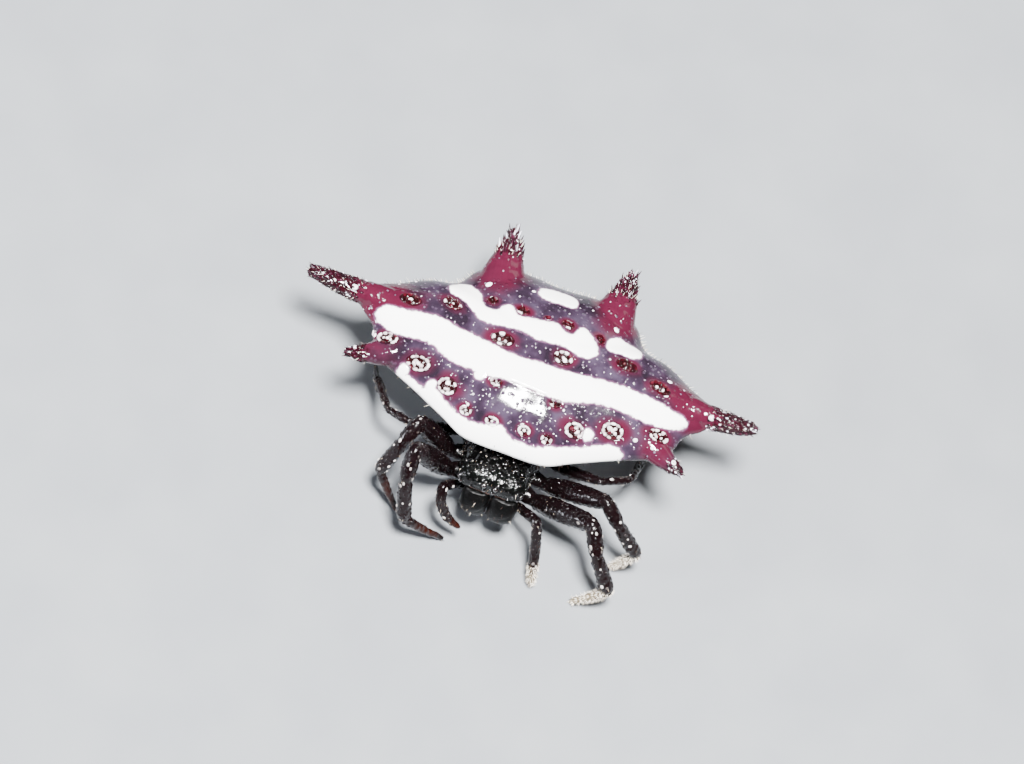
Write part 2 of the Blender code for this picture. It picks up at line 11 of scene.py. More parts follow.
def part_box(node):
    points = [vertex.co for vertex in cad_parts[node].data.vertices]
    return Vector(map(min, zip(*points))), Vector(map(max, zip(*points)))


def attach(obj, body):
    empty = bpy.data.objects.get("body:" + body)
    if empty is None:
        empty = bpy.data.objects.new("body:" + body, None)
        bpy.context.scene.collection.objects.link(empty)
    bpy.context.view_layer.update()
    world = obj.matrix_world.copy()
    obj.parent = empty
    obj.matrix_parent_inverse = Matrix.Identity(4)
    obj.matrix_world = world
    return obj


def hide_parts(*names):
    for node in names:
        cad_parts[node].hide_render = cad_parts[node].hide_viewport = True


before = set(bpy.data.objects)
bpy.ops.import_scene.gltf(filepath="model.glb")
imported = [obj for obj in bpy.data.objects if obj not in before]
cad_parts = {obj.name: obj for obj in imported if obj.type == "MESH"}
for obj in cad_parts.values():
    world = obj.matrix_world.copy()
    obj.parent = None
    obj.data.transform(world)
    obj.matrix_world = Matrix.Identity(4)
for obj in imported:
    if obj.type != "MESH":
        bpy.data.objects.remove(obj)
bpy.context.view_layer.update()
print("frame loaded with", len(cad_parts), "nodes")

# Everything is modelled in millimetres about the spider's own middle, then scaled and moved to the frame.
mm = 0.001
rearOfCarapace = -1.42          # y of the carapace's rear end in the modelling space
carapaceLow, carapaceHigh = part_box("carapace")
rowShift = Vector(((carapaceLow.x + carapaceHigh.x) / 2, carapaceHigh.y - rearOfCarapace * mm, 0.0))
draw = np.random.default_rng(23)        # one row of draws for everything, so their order matters
up3 = np.array((0.0, 0.0, 1.0))
hands = (("left", 1), ("right", -1))    # her left side lies towards +x
goldenTurn = 2.399963                   # spreads things round a spine without rows, in radians


def circle(count):
    return 2 * math.pi * np.arange(count) / count


def smoothPath(points, steps, closed=False):
    # cubic curve through the points
    pts = np.array(points, float)
    count = len(pts)
    rows = []
    for i in range(count if closed else count - 1):
        if closed:
            a, b, c, d = (pts[(i + k - 1) % count] for k in range(4))
        else:
            a, b, c, d = (pts[min(max(i + k - 1, 0), count - 1)] for k in range(4))
        for t in np.arange(steps) / steps:
            rows.append(0.5 * (2 * b + (c - a) * t + (2 * a - 5 * b + 4 * c - d) * t * t
                               + (3 * b - a - 3 * c + d) * t ** 3))
    if not closed:
        rows.append(pts[-1])
    return np.array(rows)


def unit(vectors):
    length = np.linalg.norm(vectors, axis=-1, keepdims=True)
    return vectors / np.maximum(length, 1e-9)


def ease(values, low, high):
    # 0 below low, 1 above high and a soft step between
    t = np.clip((np.asarray(values, float) - low) / (high - low), 0, 1)
    return t * t * (3 - 2 * t)


def loft(rings):
    # closed skin over a stack of rings, wound so that it faces out
    rings = np.asarray(rings, float)
    rows, count = rings.shape[:2]
    verts = np.vstack([rings.reshape(-1, 3), rings[0].mean(0), rings[-1].mean(0)])
    index = np.arange(rows * count).reshape(rows, count)
    following = np.roll(index, -1, axis=1)
    quads = np.stack([index[:-1], following[:-1], following[1:], index[1:]], -1).reshape(-1, 4)
    faces = [tuple(f) for f in quads.tolist()]
    first, last = rows * count, rows * count + 1
    faces += [(first, int(b), int(a)) for a, b in zip(index[0], following[0])]
    faces += [(last, int(a), int(b)) for a, b in zip(index[-1], following[-1])]
    corners = verts[quads]
    volume = np.einsum("ij,ij->i", corners[:, 0], np.cross(corners[:, 1], corners[:, 2])).sum()
    volume += np.einsum("ij,ij->i", corners[:, 0], np.cross(corners[:, 2], corners[:, 3])).sum()
    if volume < 0:
        faces = [f[::-1] for f in faces]
    return verts, faces


def tube(path, radii, sides, flat=1.0):
    # rings square to a path, carried along it without twisting
    path = np.asarray(path, float)
    heading = unit(np.gradient(path, axis=0))
    side = np.cross(heading[0], up3)
    if np.linalg.norm(side) < 1e-3:
        side = np.array((1.0, 0.0, 0.0))
    turn = circle(sides)
    rings = []
    for place, ahead, radius in zip(path, heading, radii):
        side = unit(side - ahead * (side @ ahead))
        over = np.cross(side, ahead)
        rings.append(place + radius * (np.outer(np.cos(turn), side) + flat * np.outer(np.sin(turn), over)))
    return np.array(rings)


def joined(shapes):
    # several shapes' vertices and faces as one shape's
    verts, faces, start = [], [], 0
    for v, f in shapes:
        verts.append(v)
        faces += [tuple(i + start for i in face) for face in f]
        start += len(v)
    return np.vstack(verts), faces


def rawObject(name, verts, faces):
    mesh = bpy.data.meshes.new(name)
    mesh.from_pydata(np.asarray(verts).tolist(), [], faces)
    obj = bpy.data.objects.new(name, mesh)
    bpy.context.scene.collection.objects.link(obj)
    return obj


def skinOver(name, shapes, voxel, smoothing):
    # one skin round overlapping closed shapes
    obj = rawObject(name, *joined(shapes))
    remesh = obj.modifiers.new("skin", "REMESH")
    remesh.mode = "VOXEL"
    remesh.voxel_size = voxel
    relax = obj.modifiers.new("relax", "SMOOTH")
    relax.factor = 0.5
    relax.iterations = smoothing
    mesh = bpy.data.meshes.new_from_object(obj.evaluated_get(bpy.context.evaluated_depsgraph_get()))
    obj.modifiers.clear()
    obj.data = mesh
    return obj


def coordinates(obj):
    flat = np.empty(len(obj.data.vertices) * 3)
    obj.data.vertices.foreach_get("co", flat)
    return flat.reshape(-1, 3)


def normals(obj):
    flat = np.empty(len(obj.data.vertices) * 3)
    obj.data.vertices.foreach_get("normal", flat)
    return flat.reshape(-1, 3)


def setCoordinates(obj, verts):
    obj.data.vertices.foreach_set("co", np.asarray(verts, float).ravel())
    obj.data.update()


def setField(obj, name, values):
    field = obj.data.attributes.new(name, "FLOAT", "POINT")
    field.data.foreach_set("value", np.asarray(values, np.float32).ravel())


def surfaceOf(obj):
    bm = bmesh.new()
    bm.from_mesh(obj.data)
    tree = BVHTree.FromBMesh(bm)
    bm.free()
    return tree


def dropOn(surface, x, y):
    # place and outward direction where a line straight down first meets a surface
    return surface.ray_cast(Vector((x, y, 9)), Vector((0, 0, -1)))[:2]


def finishPiece(obj, material, slot, *nodes):
    # nothing below the floor; to metres and the frame's place, then hand over to the frame
    verts = coordinates(obj)
    verts[:, 2] = np.maximum(verts[:, 2], 0.0)
    setCoordinates(obj, verts)
    obj.data.transform(Matrix.Translation(rowShift) @ Matrix.Scale(mm, 4))
    obj.data.materials.clear()
    obj.data.materials.append(material)
    obj.data.shade_smooth()
    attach(obj, "root")
    if nodes:
        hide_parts(*nodes)


# Materials

def linear(code, alpha=1.0):
    # sRGB hex to linear colour
    parts = [int(code[i:i + 2], 16) / 255 for i in (1, 3, 5)]
    return (*[c / 12.92 if c <= 0.04045 else ((c + 0.055) / 1.055) ** 2.4 for c in parts], alpha)


def plug(tree, node, inputs):
    # links a node's inputs to outputs of other nodes, or sets them; a tuple fills the first ones in order
    for key, value in inputs.items() if isinstance(inputs, dict) else enumerate(inputs):
        if isinstance(value, bpy.types.NodeSocket):
            tree.links.new(value, node.inputs[key])
        else:
            node.inputs[key].default_value = value


def addNode(tree, kind, inputs, output=0, stops=(), **settings):
    # adds one shader node with its settings and links, and gives back one of its outputs
    node = tree.nodes.new("ShaderNode" + kind)
    for key, value in settings.items():
        setattr(node, key, value)
    plug(tree, node, inputs)
    if stops:
        ramp = node.color_ramp
        while len(ramp.elements) < len(stops):
            ramp.elements.new(0.5)
        for element, (place, colour) in zip(ramp.elements, stops):
            element.position = place
            element.color = linear(colour)
    return node.outputs[output]


softStep = {"interpolation_type": "SMOOTHSTEP"}     # for a MapRange node
inColour = {"output": 2, "data_type": "RGBA"}       # for a Mix node: 0 is the share, 6 lies under 7


def newMaterial(name):
    material = bpy.data.materials.new(name)
    material.use_nodes = True
    tree = material.node_tree
    return material, tree, tree.nodes["Principled BSDF"]


def perMm(size):
    # texture scale whose features are this many millimetres across
    return 1 / (size * mm)


# Lacquered cuticle of the shield: slate-purple ground flushed with crimson, chalk-white bands, a waxy gloss.
# A layer starts where its field passes the first number and is full at the second; two more are its shares.
shieldFinish = {
    "ground": ["#181119", "#251b27", "#352c3a"], "groundAt": (0.36, 0.50, 0.64),
    # the mark row's near-white last stop is painted highlight on the lumps
    "mark": ["#150305", "#330710", "#55202c", "#f3ecec"], "markAt": (0.1, 0.5, 0.8, 1.0),
    "crevice": "#150405", "hornDark": ["#0d0205", "#25050d"],
    "layers": {"dot": ("#4b3c4f", 0.34, 0.16, 0.0, 0.30), "blush": ("#370e1d", 0.18, 0.80),
               "horn": ("", 0.38, 0.60), "rim": ("#221a13", 0.02, -0.06), "mark": ("", 1.05, 0.93),
               "bandEdge": ("#63405a", -0.10, -0.02, 0.0, 0.7), "band": ("#fbf9f7", -0.035, 0.025)},
    "wander": {"blush": 0.20, "horn": 0.10, "band": 0.025},     # how far noise shifts a field
    # the grain is drawn coarser than the real one, which is too fine to show
    "cloudMm": 0.9, "speckMm": 0.20, "grainMm": 0.035, "pitMm": 0.020,
    "roughness": 0.10, "markRoughness": 0.09, "unevenGloss": (-0.04, 0.01), "ior": 1.37,
}


def lacqueredShield():
    look = shieldFinish
    material, tree, shader = newMaterial("lacquered_cuticle")
    place = addNode(tree, "TexCoord", {}, "Object")
    field = {name: addNode(tree, "Attribute", {}, "Fac", attribute_name=name)
             for name in ("band", "mark", "horn", "blush", "rim", "crease", "tone")}
    cloud, fine, grain = (
        addNode(tree, "TexNoise", {"Vector": place, "Scale": perMm(look[size]), "Detail": detail})
        for size, detail in (("cloudMm", 4.0), ("speckMm", 2.0), ("grainMm", 1.0)))
    cells = addNode(tree, "TexVoronoi", {"Vector": place, "Scale": perMm(look["speckMm"])})
    for name, noise in (("blush", cloud), ("horn", fine), ("band", fine)):
        shift = look["wander"][name]
        shift = addNode(tree, "MapRange", (noise, 0.3, 0.7, -shift, shift), **softStep)
        field[name] = addNode(tree, "Math", (field[name], shift), operation="ADD")
    field.update({"dot": cells, "bandEdge": field["band"]})
    ground, lump = (
        addNode(tree, "ValToRGB", {"Fac": along}, stops=list(zip(look[name + "At"], look[name])))
        for name, along in (("ground", cloud), ("mark", field["tone"])))
    darkHorn, lightHorn, crevice = (linear(code) for code in (*look["hornDark"], look["crevice"]))
    mixed = {"horn": addNode(tree, "Mix", {0: fine, 6: darkHorn, 7: lightHorn}, **inColour),
             "mark": addNode(tree, "Mix", {0: field["crease"], 6: lump, 7: crevice}, **inColour)}
    colour, shares = ground, {}
    for name, (code, *edges) in look["layers"].items():
        shares[name] = addNode(tree, "MapRange", (field[name], *edges), **softStep)
        layer = linear(code) if code else mixed[name]
        colour = addNode(tree, "Mix", {0: shares[name], 6: colour, 7: layer}, **inColour)
    gloss = (shares["mark"], 0.0, 1.0, look["roughness"], look["markRoughness"])
    gloss = addNode(tree, "MapRange", gloss, **softStep)
    uneven = addNode(tree, "MapRange", (fine, 0.3, 0.7, *look["unevenGloss"]), **softStep)
    rough = addNode(tree, "Math", (gloss, uneven), operation="ADD")
    pits = addNode(tree, "MapRange", (cells, 0.36, 0.10), **softStep)
    offBand = addNode(tree, "MapRange", (field["band"], -0.02, 0.02, 1.0, 0.0), **softStep)
    pits = addNode(tree, "Math", (pits, offBand), operation="MULTIPLY")
    grit = addNode(tree, "Math", (grain, 0.06), operation="MULTIPLY")
    height = addNode(tree, "Math", (pits, grit), operation="ADD")
    bump = addNode(tree, "Bump", {"Height": height, "Distance": look["pitMm"] * mm, "Strength": 0.8})
    plug(tree, shader, {"Base Color": colour, "Roughness": rough, "Normal": bump, "IOR": look["ior"]})
    return material


# Glossy nodules, like drops of lacquer; each one's tone runs along its own row of colours.
noduleFinish = {"mottleMm": 0.05, "mottleAt": (0.55, 0.75), "mottleShare": 0.5}


def glossyNodules(name, tones, roughness, ior):
    look = noduleFinish
    material, tree, shader = newMaterial(name)
    place = addNode(tree, "TexCoord", {}, "Object")
    tone = addNode(tree, "Attribute", {}, "Fac", attribute_name="tone")
    colour = addNode(tree, "ValToRGB", {"Fac": tone}, stops=tones)
    mottle = addNode(tree, "TexNoise", {"Vector": place, "Scale": perMm(look["mottleMm"]), "Detail": 2.0})
    share = addNode(tree, "MapRange", (mottle, *look["mottleAt"], 0.0, look["mottleShare"]), **softStep)
    colour = addNode(tree, "Mix", {0: share, 6: colour, 7: linear(tones[0][1])}, **inColour)
    plug(tree, shader, {"Base Color": colour, "Roughness": roughness, "IOR": ior})
    return material


# Black cuticle of head, jaws and legs: smooth and waxy, brown or pale where a field says that it is thin.
cuticleFinish = {"cellMm": 0.09, "grainMm": 0.03, "dentMm": 0.010, "unevenGloss": 0.2, "wander": 0.05}


def blackCuticle(name, dark, light, cloudMm, roughness, ior, fieldName=None, fieldStops=None):
    look = cuticleFinish
    material, tree, shader = newMaterial(name)
    place = addNode(tree, "TexCoord", {}, "Object")
    cloud = addNode(tree, "TexNoise", {"Vector": place, "Scale": perMm(cloudMm), "Detail": 4.0})
    cells = addNode(tree, "TexVoronoi", {"Vector": place, "Scale": perMm(look["cellMm"])})
    grain = addNode(tree, "TexNoise", {"Vector": place, "Scale": perMm(look["grainMm"]), "Detail": 1.0})
    colour = addNode(tree, "ValToRGB", {"Fac": cloud}, stops=[(0.38, dark), (0.66, light)])
    if fieldName:
        along = addNode(tree, "Attribute", {}, "Fac", attribute_name=fieldName)
        shift = addNode(tree, "MapRange", (cloud, 0.3, 0.7, -look["wander"], look["wander"]), **softStep)
        along = addNode(tree, "Math", (along, shift), operation="ADD")
        tint = addNode(tree, "ValToRGB", {"Fac": along}, stops=fieldStops)
        share = addNode(tree, "MapRange", (cloud, 0.2, 0.8, 0.9, 0.6), **softStep)
        colour = addNode(tree, "Mix", {0: share, 6: colour, 7: tint}, **inColour)
    uneven = look["unevenGloss"]
    rough = addNode(tree, "Math", (cloud, uneven, roughness - uneven / 2), operation="MULTIPLY_ADD")
    dents = addNode(tree, "MapRange", (cells, 0.5, 0.1, 0.0, 0.7), **softStep)
    grit = addNode(tree, "Math", (grain, 0.08), operation="MULTIPLY")
    height = addNode(tree, "Math", (dents, grit), operation="ADD")
    bump = addNode(tree, "Bump", {"Height": height, "Distance": look["dentMm"] * mm, "Strength": 0.8})
    plug(tree, shader, {"Base Color": colour, "Roughness": rough, "Normal": bump, "IOR": ior})
    return material


# Leathery underside: dark, wrinkled and half dull, with pale yellowish spots.
bellyFinish = {"dark": "#120d10", "light": "#30212a", "spot": "#a58f5c", "cloudMm": 0.7, "spotMm": 0.55,
               "wrinkleMm": 0.09, "wrinkleDeepMm": 0.03, "roughness": 0.46}


def leatheryBelly():
    look = bellyFinish
    material, tree, shader = newMaterial("leathery_belly")
    place = addNode(tree, "TexCoord", {}, "Object")
    cloud = addNode(tree, "TexNoise", {"Vector": place, "Scale": perMm(look["cloudMm"]), "Detail": 4.0})
    spots = addNode(tree, "TexVoronoi", {"Vector": place, "Scale": perMm(look["spotMm"]), "Randomness": 0.8})
    wrinkle = addNode(tree, "TexNoise", {"Vector": place, "Scale": perMm(look["wrinkleMm"]), "Detail": 3.0,
                                         "Distortion": 0.6})
    colour = addNode(tree, "ValToRGB", {"Fac": cloud}, stops=[(0.35, look["dark"]), (0.62, look["light"])])
    shift = addNode(tree, "MapRange", (cloud, 0.35, 0.65, -0.1, 0.12), **softStep)
    spotted = addNode(tree, "Math", (spots, shift), operation="SUBTRACT")
    share = addNode(tree, "MapRange", (spotted, 0.22, 0.13, 0.0, 0.85), **softStep)
    colour = addNode(tree, "Mix", {0: share, 6: colour, 7: linear(look["spot"])}, **inColour)
    bump = addNode(tree, "Bump", {"Height": wrinkle, "Distance": look["wrinkleDeepMm"] * mm, "Strength": 0.9})
    plug(tree, shader, {"Base Color": colour, "Roughness": look["roughness"], "Normal": bump, "IOR": 1.5})
    return material


# Setae: stiff hollow hairs, half dull, mostly dark, with pale ones that catch the light.
def setae(name, tones):
    material, tree, shader = newMaterial(name)
    tone = addNode(tree, "Attribute", {}, "Fac", attribute_name="tone")
    colour = addNode(tree, "ValToRGB", {"Fac": tone}, stops=tones)
    plug(tree, shader, {"Base Color": colour, "Roughness": 0.45, "IOR": 1.25})
    return material


# Eye lens: clear cuticle polished over a black cup, so that it looks wet.
def polishedLens():
    material, tree, shader = newMaterial("polished_lens")
    place = addNode(tree, "TexCoord", {}, "Object")
    cup = addNode(tree, "TexNoise", {"Vector": place, "Scale": perMm(0.08), "Detail": 2.0})
    share = addNode(tree, "MapRange", (cup, 0.4, 0.7), **softStep)
    colour = addNode(tree, "Mix", {0: share, 6: linear("#07060a"), 7: linear("#1a110d")}, **inColour)
    plug(tree, shader, {"Base Color": colour, "Roughness": 0.05, "IOR": 1.6, "Coat Weight": 1.0,
                        "Coat Roughness": 0.03})
    return material


# the legs' colour changes along the field "reach" and that of the shell's front edge along "edge"
finishes = {
    "shield": lacqueredShield(),
    # the spine nodules' and spicules' colour row ends in bluish white, a painted glint
    "hornNodule": glossyNodules("maroon_nodules_painted_glints", [(0.0, "#070204"), (0.4, "#18040b"), (0.8, "#33101f"),
                                                   (1.0, "#e2e1ee")], 0.12, 1.36),
    # the granules' colour row ends in near white, the painted highlight of the large knobs
    "granule": glossyNodules("pale_granules", [(0.0, "#2a1c29"), (0.5, "#554557"), (1.0, "#f2ecef")],
                             0.42, 1.38),
    "head": blackCuticle("black_shell_cuticle", "#010101", "#050404", 0.5, 0.20, 1.32, "edge",
                         [(0.0, "#020202"), (0.6, "#080605"), (1.0, "#563730")]),
    "jaw": blackCuticle("jaw_cuticle", "#010101", "#030202", 0.5, 0.45, 1.18),
    # the head nodules' grey-to-white end is a painted glint
    "headNodule": glossyNodules("black_nodules_painted_glints", [(0.0, "#020202"), (0.77, "#0a0807"), (0.84, "#7d7a75"),
                                                  (1.0, "#f0ede8")], 0.16, 1.7),
    "leg": blackCuticle("waxy_leg_cuticle", "#020101", "#0a0304", 0.45, 0.20, 1.28, "reach",
                        [(0.0, "#030202"), (0.45, "#080304"), (0.78, "#0c0404"), (0.84, "#1f0a06"),
                         (0.97, "#260e08"), (1.0, "#060303")]),
    "paleLeg": blackCuticle("pale_footed_leg_cuticle", "#020101", "#0a0304", 0.45, 0.20, 1.28, "reach",
                            [(0.0, "#030202"), (0.45, "#080304"), (0.77, "#0c0404"), (0.82, "#5f5443"),
                             (1.0, "#857a66")]),
    # the leg nodules' grey-white end is a painted glint
    "legNodule": glossyNodules("leg_nodules", [(0.0, "#020101"), (0.70, "#0b0304"), (0.80, "#37302e"),
                                               (1.0, "#b9b3af")], 0.12, 1.38),
    "belly": leatheryBelly(),
    "bristle": setae("dark_setae", [(0.0, "#060303"), (0.5, "#2a1c17"), (0.8, "#8d795f"), (1.0, "#fbf2e2")]),
    "eye": polishedLens(),
}
print("materials made")


# Small things set on a surface

def ballTemplate(detail):
    bm = bmesh.new()
    bmesh.ops.create_icosphere(bm, subdivisions=detail, radius=1.0)
    verts = np.array([v.co[:] for v in bm.verts])
    faces = [tuple(v.index for v in f.verts) for f in bm.faces]
    bm.free()
    return verts, faces


def spiculeTemplate():
    # a blunt tapering peg along x, from its root at 0 to its tip at 1
    sides = 7
    turn = circle(sides)
    widths = {0.0: 0.85, 0.25: 1.0, 0.55: 0.82, 0.80: 0.52, 0.95: 0.26, 1.0: 0.04}
    verts, faces = loft([np.column_stack([np.full(sides, along), width * np.cos(turn), width * np.sin(turn)])
                         for along, width in widths.items()])
    halves = [half for f in faces if len(f) == 4 for half in ((f[0], f[1], f[2]), (f[0], f[2], f[3]))]
    return verts, [f for f in faces if len(f) == 3] + halves


def bakeMap(mesh, perCopy, centres, offsets):
    # each copy is a small patch at its root's place on the skin's unwrap
    patch = 0.003           # side of the patch, with the whole map as 1
    loops = np.empty(len(mesh.loops), int)
    mesh.loops.foreach_get("vertex_index", loops)
    copy, corner = loops // perCopy, loops % perCopy
    uv = centres[copy] + patch * (offsets[corner] - 0.5)
    layer = mesh.uv_layers.new(name="OFBake")
    layer.data.foreach_set("uv", uv.astype(np.float32).ravel())


def copies(name, template, places, axes, sizes, tones, unwrapped):
    # many copies of one shape as one mesh; axes holds each copy's three unit axes as rows
    shape, faces = template
    verts = places[:, None, :] + np.einsum("vk,nk,nkj->nvj", shape, sizes, axes)
    count, per = len(places), len(shape)
    index = np.array(faces)[None] + (np.arange(count) * per)[:, None, None]
    obj = rawObject(name, verts.reshape(-1, 3), index.reshape(-1, index.shape[-1]).tolist())
    setField(obj, "tone", np.repeat(tones, per))
    bakeMap(obj.data, per, unwrapped, (shape[:, :2] + 1) / 2)
    return obj


bristleShape = {"levels": (0.0, 0.3, 0.62, 0.86), "taper": (1.0, 0.86, 0.58, 0.30), "sunk": 0.03,
                "width": 0.009}


def bristles(name, roots, outward, lie, lengths, widths, lift, curl, tones, unwrapped):
    # three-sided tapering hairs that rise by lift and curl towards their lie
    levels = np.array(bristleShape["levels"])
    start = unit(outward * lift[:, None] + lie * (1 - lift)[:, None])
    side = unit(np.cross(start, outward) + 1e-6)
    over = np.cross(side, start)
    base = roots - outward * bristleShape["sunk"]

    def centre(t):
        return base + lengths[:, None] * (start * t + (lie - start) * (curl[:, None] * t * t * 0.5))

    rings = []
    for t, share in zip(levels, bristleShape["taper"]):
        for k in range(3):
            turn = 2 * math.pi * k / 3
            away = side * math.cos(turn) + over * math.sin(turn)
            rings.append(centre(t) + (widths * share)[:, None] * away)
    rings.append(centre(1.0))
    verts = np.stack(rings, 1)
    per = verts.shape[1]
    faces = []
    for row in range(len(levels) - 1):
        for k in range(3):
            a, b = row * 3 + k, row * 3 + (k + 1) % 3
            faces += [(a, b, b + 3), (a, b + 3, a + 3)]
    top = (len(levels) - 1) * 3
    faces += [(top + k, top + (k + 1) % 3, per - 1) for k in range(3)]
    faces.append((2, 1, 0))
    index = np.array(faces)[None] + (np.arange(len(roots)) * per)[:, None, None]
    obj = rawObject(name, verts.reshape(-1, 3), index.reshape(-1, 3).tolist())
    setField(obj, "tone", np.repeat(tones, per))
    offsets = [(k % 3 / 2, level / len(levels)) for level in range(len(levels)) for k in range(3)]
    bakeMap(obj.data, per, unwrapped, np.array(offsets + [(0.5, 1)]))
    return obj


def hairs(name, places, outward, lie, look, unwrapped):
    # short stiff hairs that lie loosely one way, in a few tones
    count = len(places)
    lie = unit(lie + draw.normal(scale=look["loose"], size=places.shape))
    return bristles(name, places, outward, lie, draw.uniform(*look["length"], count),
                    np.full(count, bristleShape["width"]), draw.uniform(*look["lift"], count),
                    draw.uniform(*look["curl"], count),
                    draw.choice(look["tones"], count, p=look["toneShares"]), unwrapped)


def scattered(obj, count, spacing, weight):
    # places on a skin, at least a spacing apart, with their outward directions and their faces' corners;
    # weight says how likely each vertex's surroundings are
    mesh = obj.data
    mesh.calc_loop_triangles()
    corners = np.empty(len(mesh.loop_triangles) * 3, int)
    mesh.loop_triangles.foreach_get("vertices", corners)
    corners = corners.reshape(-1, 3)
    verts, outward = coordinates(obj), normals(obj)
    tri = verts[corners]
    area = np.linalg.norm(np.cross(tri[:, 1] - tri[:, 0], tri[:, 2] - tri[:, 0]), axis=1)
    chance = area * weight[corners].mean(1)
    chosen = draw.choice(len(corners), size=count, p=chance / chance.sum())
    a, b = draw.random(count), draw.random(count)
    flip = a + b > 1
    a[flip], b[flip] = 1 - a[flip], 1 - b[flip]
    share = np.stack([1 - a - b, a, b], 1)
    places = np.einsum("nk,nkj->nj", share, tri[chosen])
    ups = unit(np.einsum("nk,nkj->nj", share, outward[corners[chosen]]))
    keep, cells = [], {}
    for i, place in enumerate(places):
        cell = tuple(np.floor(place / spacing).astype(int))
        near = (cells.get((cell[0] + x, cell[1] + y, cell[2] + z), ()) for x in (-1, 0, 1)
                for y in (-1, 0, 1) for z in (-1, 0, 1))
        if all(np.linalg.norm(places[j] - place) > spacing for group in near for j in group):
            cells.setdefault(cell, []).append(i)
            keep.append(i)
    keep = np.array(keep, int)
    return places[keep], ups[keep], corners[chosen[keep]]


def axesOn(outward, along):
    # three unit axes for a thing on a surface: along it, across it and out of it
    along = unit(along - outward * np.einsum("ij,ij->i", along, outward)[:, None])
    return np.stack([along, np.cross(outward, along), outward], 1)


def abdomenUnwrap(places, ups):
    # upper face in the map's upper half, lower face in its lower half
    u = (places[:, 0] + 9.0) / 18.0
    v = np.clip((places[:, 1] + 5.0) / 11.0, 0, 1) * 0.48
    return np.stack([u, np.where(ups[:, 2] > 0, v + 0.51, v)], 1)


# Abdomen shield

shield = {
    "half": [(0.00, -3.60), (1.40, -3.56), (2.35, -3.12), (3.50, -2.58), (4.65, -2.12), (5.26, -1.74),
             (5.58, -0.92), (6.10, -0.50), (6.48, 0.00), (6.08, 0.50), (5.36, 0.88), (4.40, 1.46),
             (3.42, 1.80), (2.88, 2.56), (2.10, 3.08), (1.20, 3.10), (0.00, 3.03)],
    "centre": (0.0, -0.2), "rimZ": 4.30, "sideRise": 0.50, "halfWidth": 6.48, "crownZ": 5.90,
    "crownPower": 0.62, "thick": 0.27, "bellyTopZ": 4.08, "voxel": 0.045, "smoothing": 10,
}
medianRadii = (0.50, 0.49, 0.40, 0.34, 0.27, 0.16)
frontRadii = (0.48, 0.46, 0.39, 0.30, 0.21, 0.11)
rearRadii = (0.80, 0.75, 0.63, 0.46, 0.29, 0.12)
# root, tip, radii from root to tip, flattening, where along it the dark part starts, nodules, spicules
spines = {
    "medianLeft": ((5.15, 0.02, 4.87), (7.84, 0.02, 5.20), medianRadii, 1.0, 0.43, 300, 40),
    "medianRight": ((-5.15, 0.02, 4.87), (-8.26, 0.02, 5.20), medianRadii, 1.0, 0.43, 340, 46),
    "frontLeft": ((4.70, -1.66, 4.70), (5.93, -2.30, 4.78), frontRadii, 0.85, 0.64, 48, 12),
    "frontRight": ((-4.70, -1.66, 4.70), (-6.14, -2.28, 4.78), frontRadii, 0.85, 0.55, 60, 14),
    "rearLeft": ((1.98, 2.15, 4.70), (2.14, 4.06, 5.36), rearRadii, 0.74, 0.54, 130, 26),
    "rearRight": ((-1.98, 2.15, 4.70), (-2.15, 4.10, 5.40), rearRadii, 0.74, 0.56, 60, 66),
}
# oval muscle marks, each row from right to left: x, y, half length, half width, turn in degrees
marks = {
    "rear": [(-4.65, 0.07, 0.40, 0.24, -9), (-3.27, 0.39, 0.38, 0.24, -34), (-2.03, 1.05, 0.20, 0.17, 0),
             (-0.97, 0.97, 0.25, 0.17, 0), (-0.09, 1.00, 0.12, 0.10, 0), (0.62, 1.05, 0.24, 0.18, -15),
             (1.80, 1.01, 0.20, 0.18, -20), (2.95, 0.40, 0.40, 0.26, -2), (4.25, 0.09, 0.40, 0.24, -6)],
    "middle": [(-1.28, -0.37, 0.40, 0.25, 5), (0.84, -0.27, 0.34, 0.26, 0), (-1.00, -1.84, 0.22, 0.16, 0),
               (1.10, -1.84, 0.20, 0.17, 0)],
    "front": [(-4.93, -1.39, 0.42, 0.22, 3), (-3.67, -1.94, 0.45, 0.28, 11), (-2.50, -2.37, 0.36, 0.30, 0),
              (-1.64, -2.93, 0.22, 0.17, 0), (-0.69, -3.02, 0.24, 0.17, 0), (0.43, -2.96, 0.22, 0.18, 0),
              (1.23, -2.97, 0.20, 0.17, 0), (2.01, -2.37, 0.36, 0.28, 0), (3.22, -1.91, 0.40, 0.30, 0),
              (4.74, -1.43, 0.40, 0.22, 0)],
}
# each row's lumps: height, number on the inner boss, share of pale ones; pale lumps are painted highlight,
# most in the front row
markLook = {"rear": (0.050, 3, 0.14), "middle": (0.062, 4, 0.50), "front": (0.076, 5, 0.78)}
# vertices round and along a mark, how far its edge reaches and sinks, where its ring and boss lie as shares
# of the oval, and the lumps' spacing, half width and tones, the pale tones being painted highlight
markGrid = {"turns": 112, "levels": 30, "edge": 1.14, "sunk": 0.055, "ring": 0.80, "boss": 0.48,
            "lumpSpacing": 0.165, "lumpAcross": 0.062, "dark": (0.0, 0.62), "pale": (0.86, 1.0)}
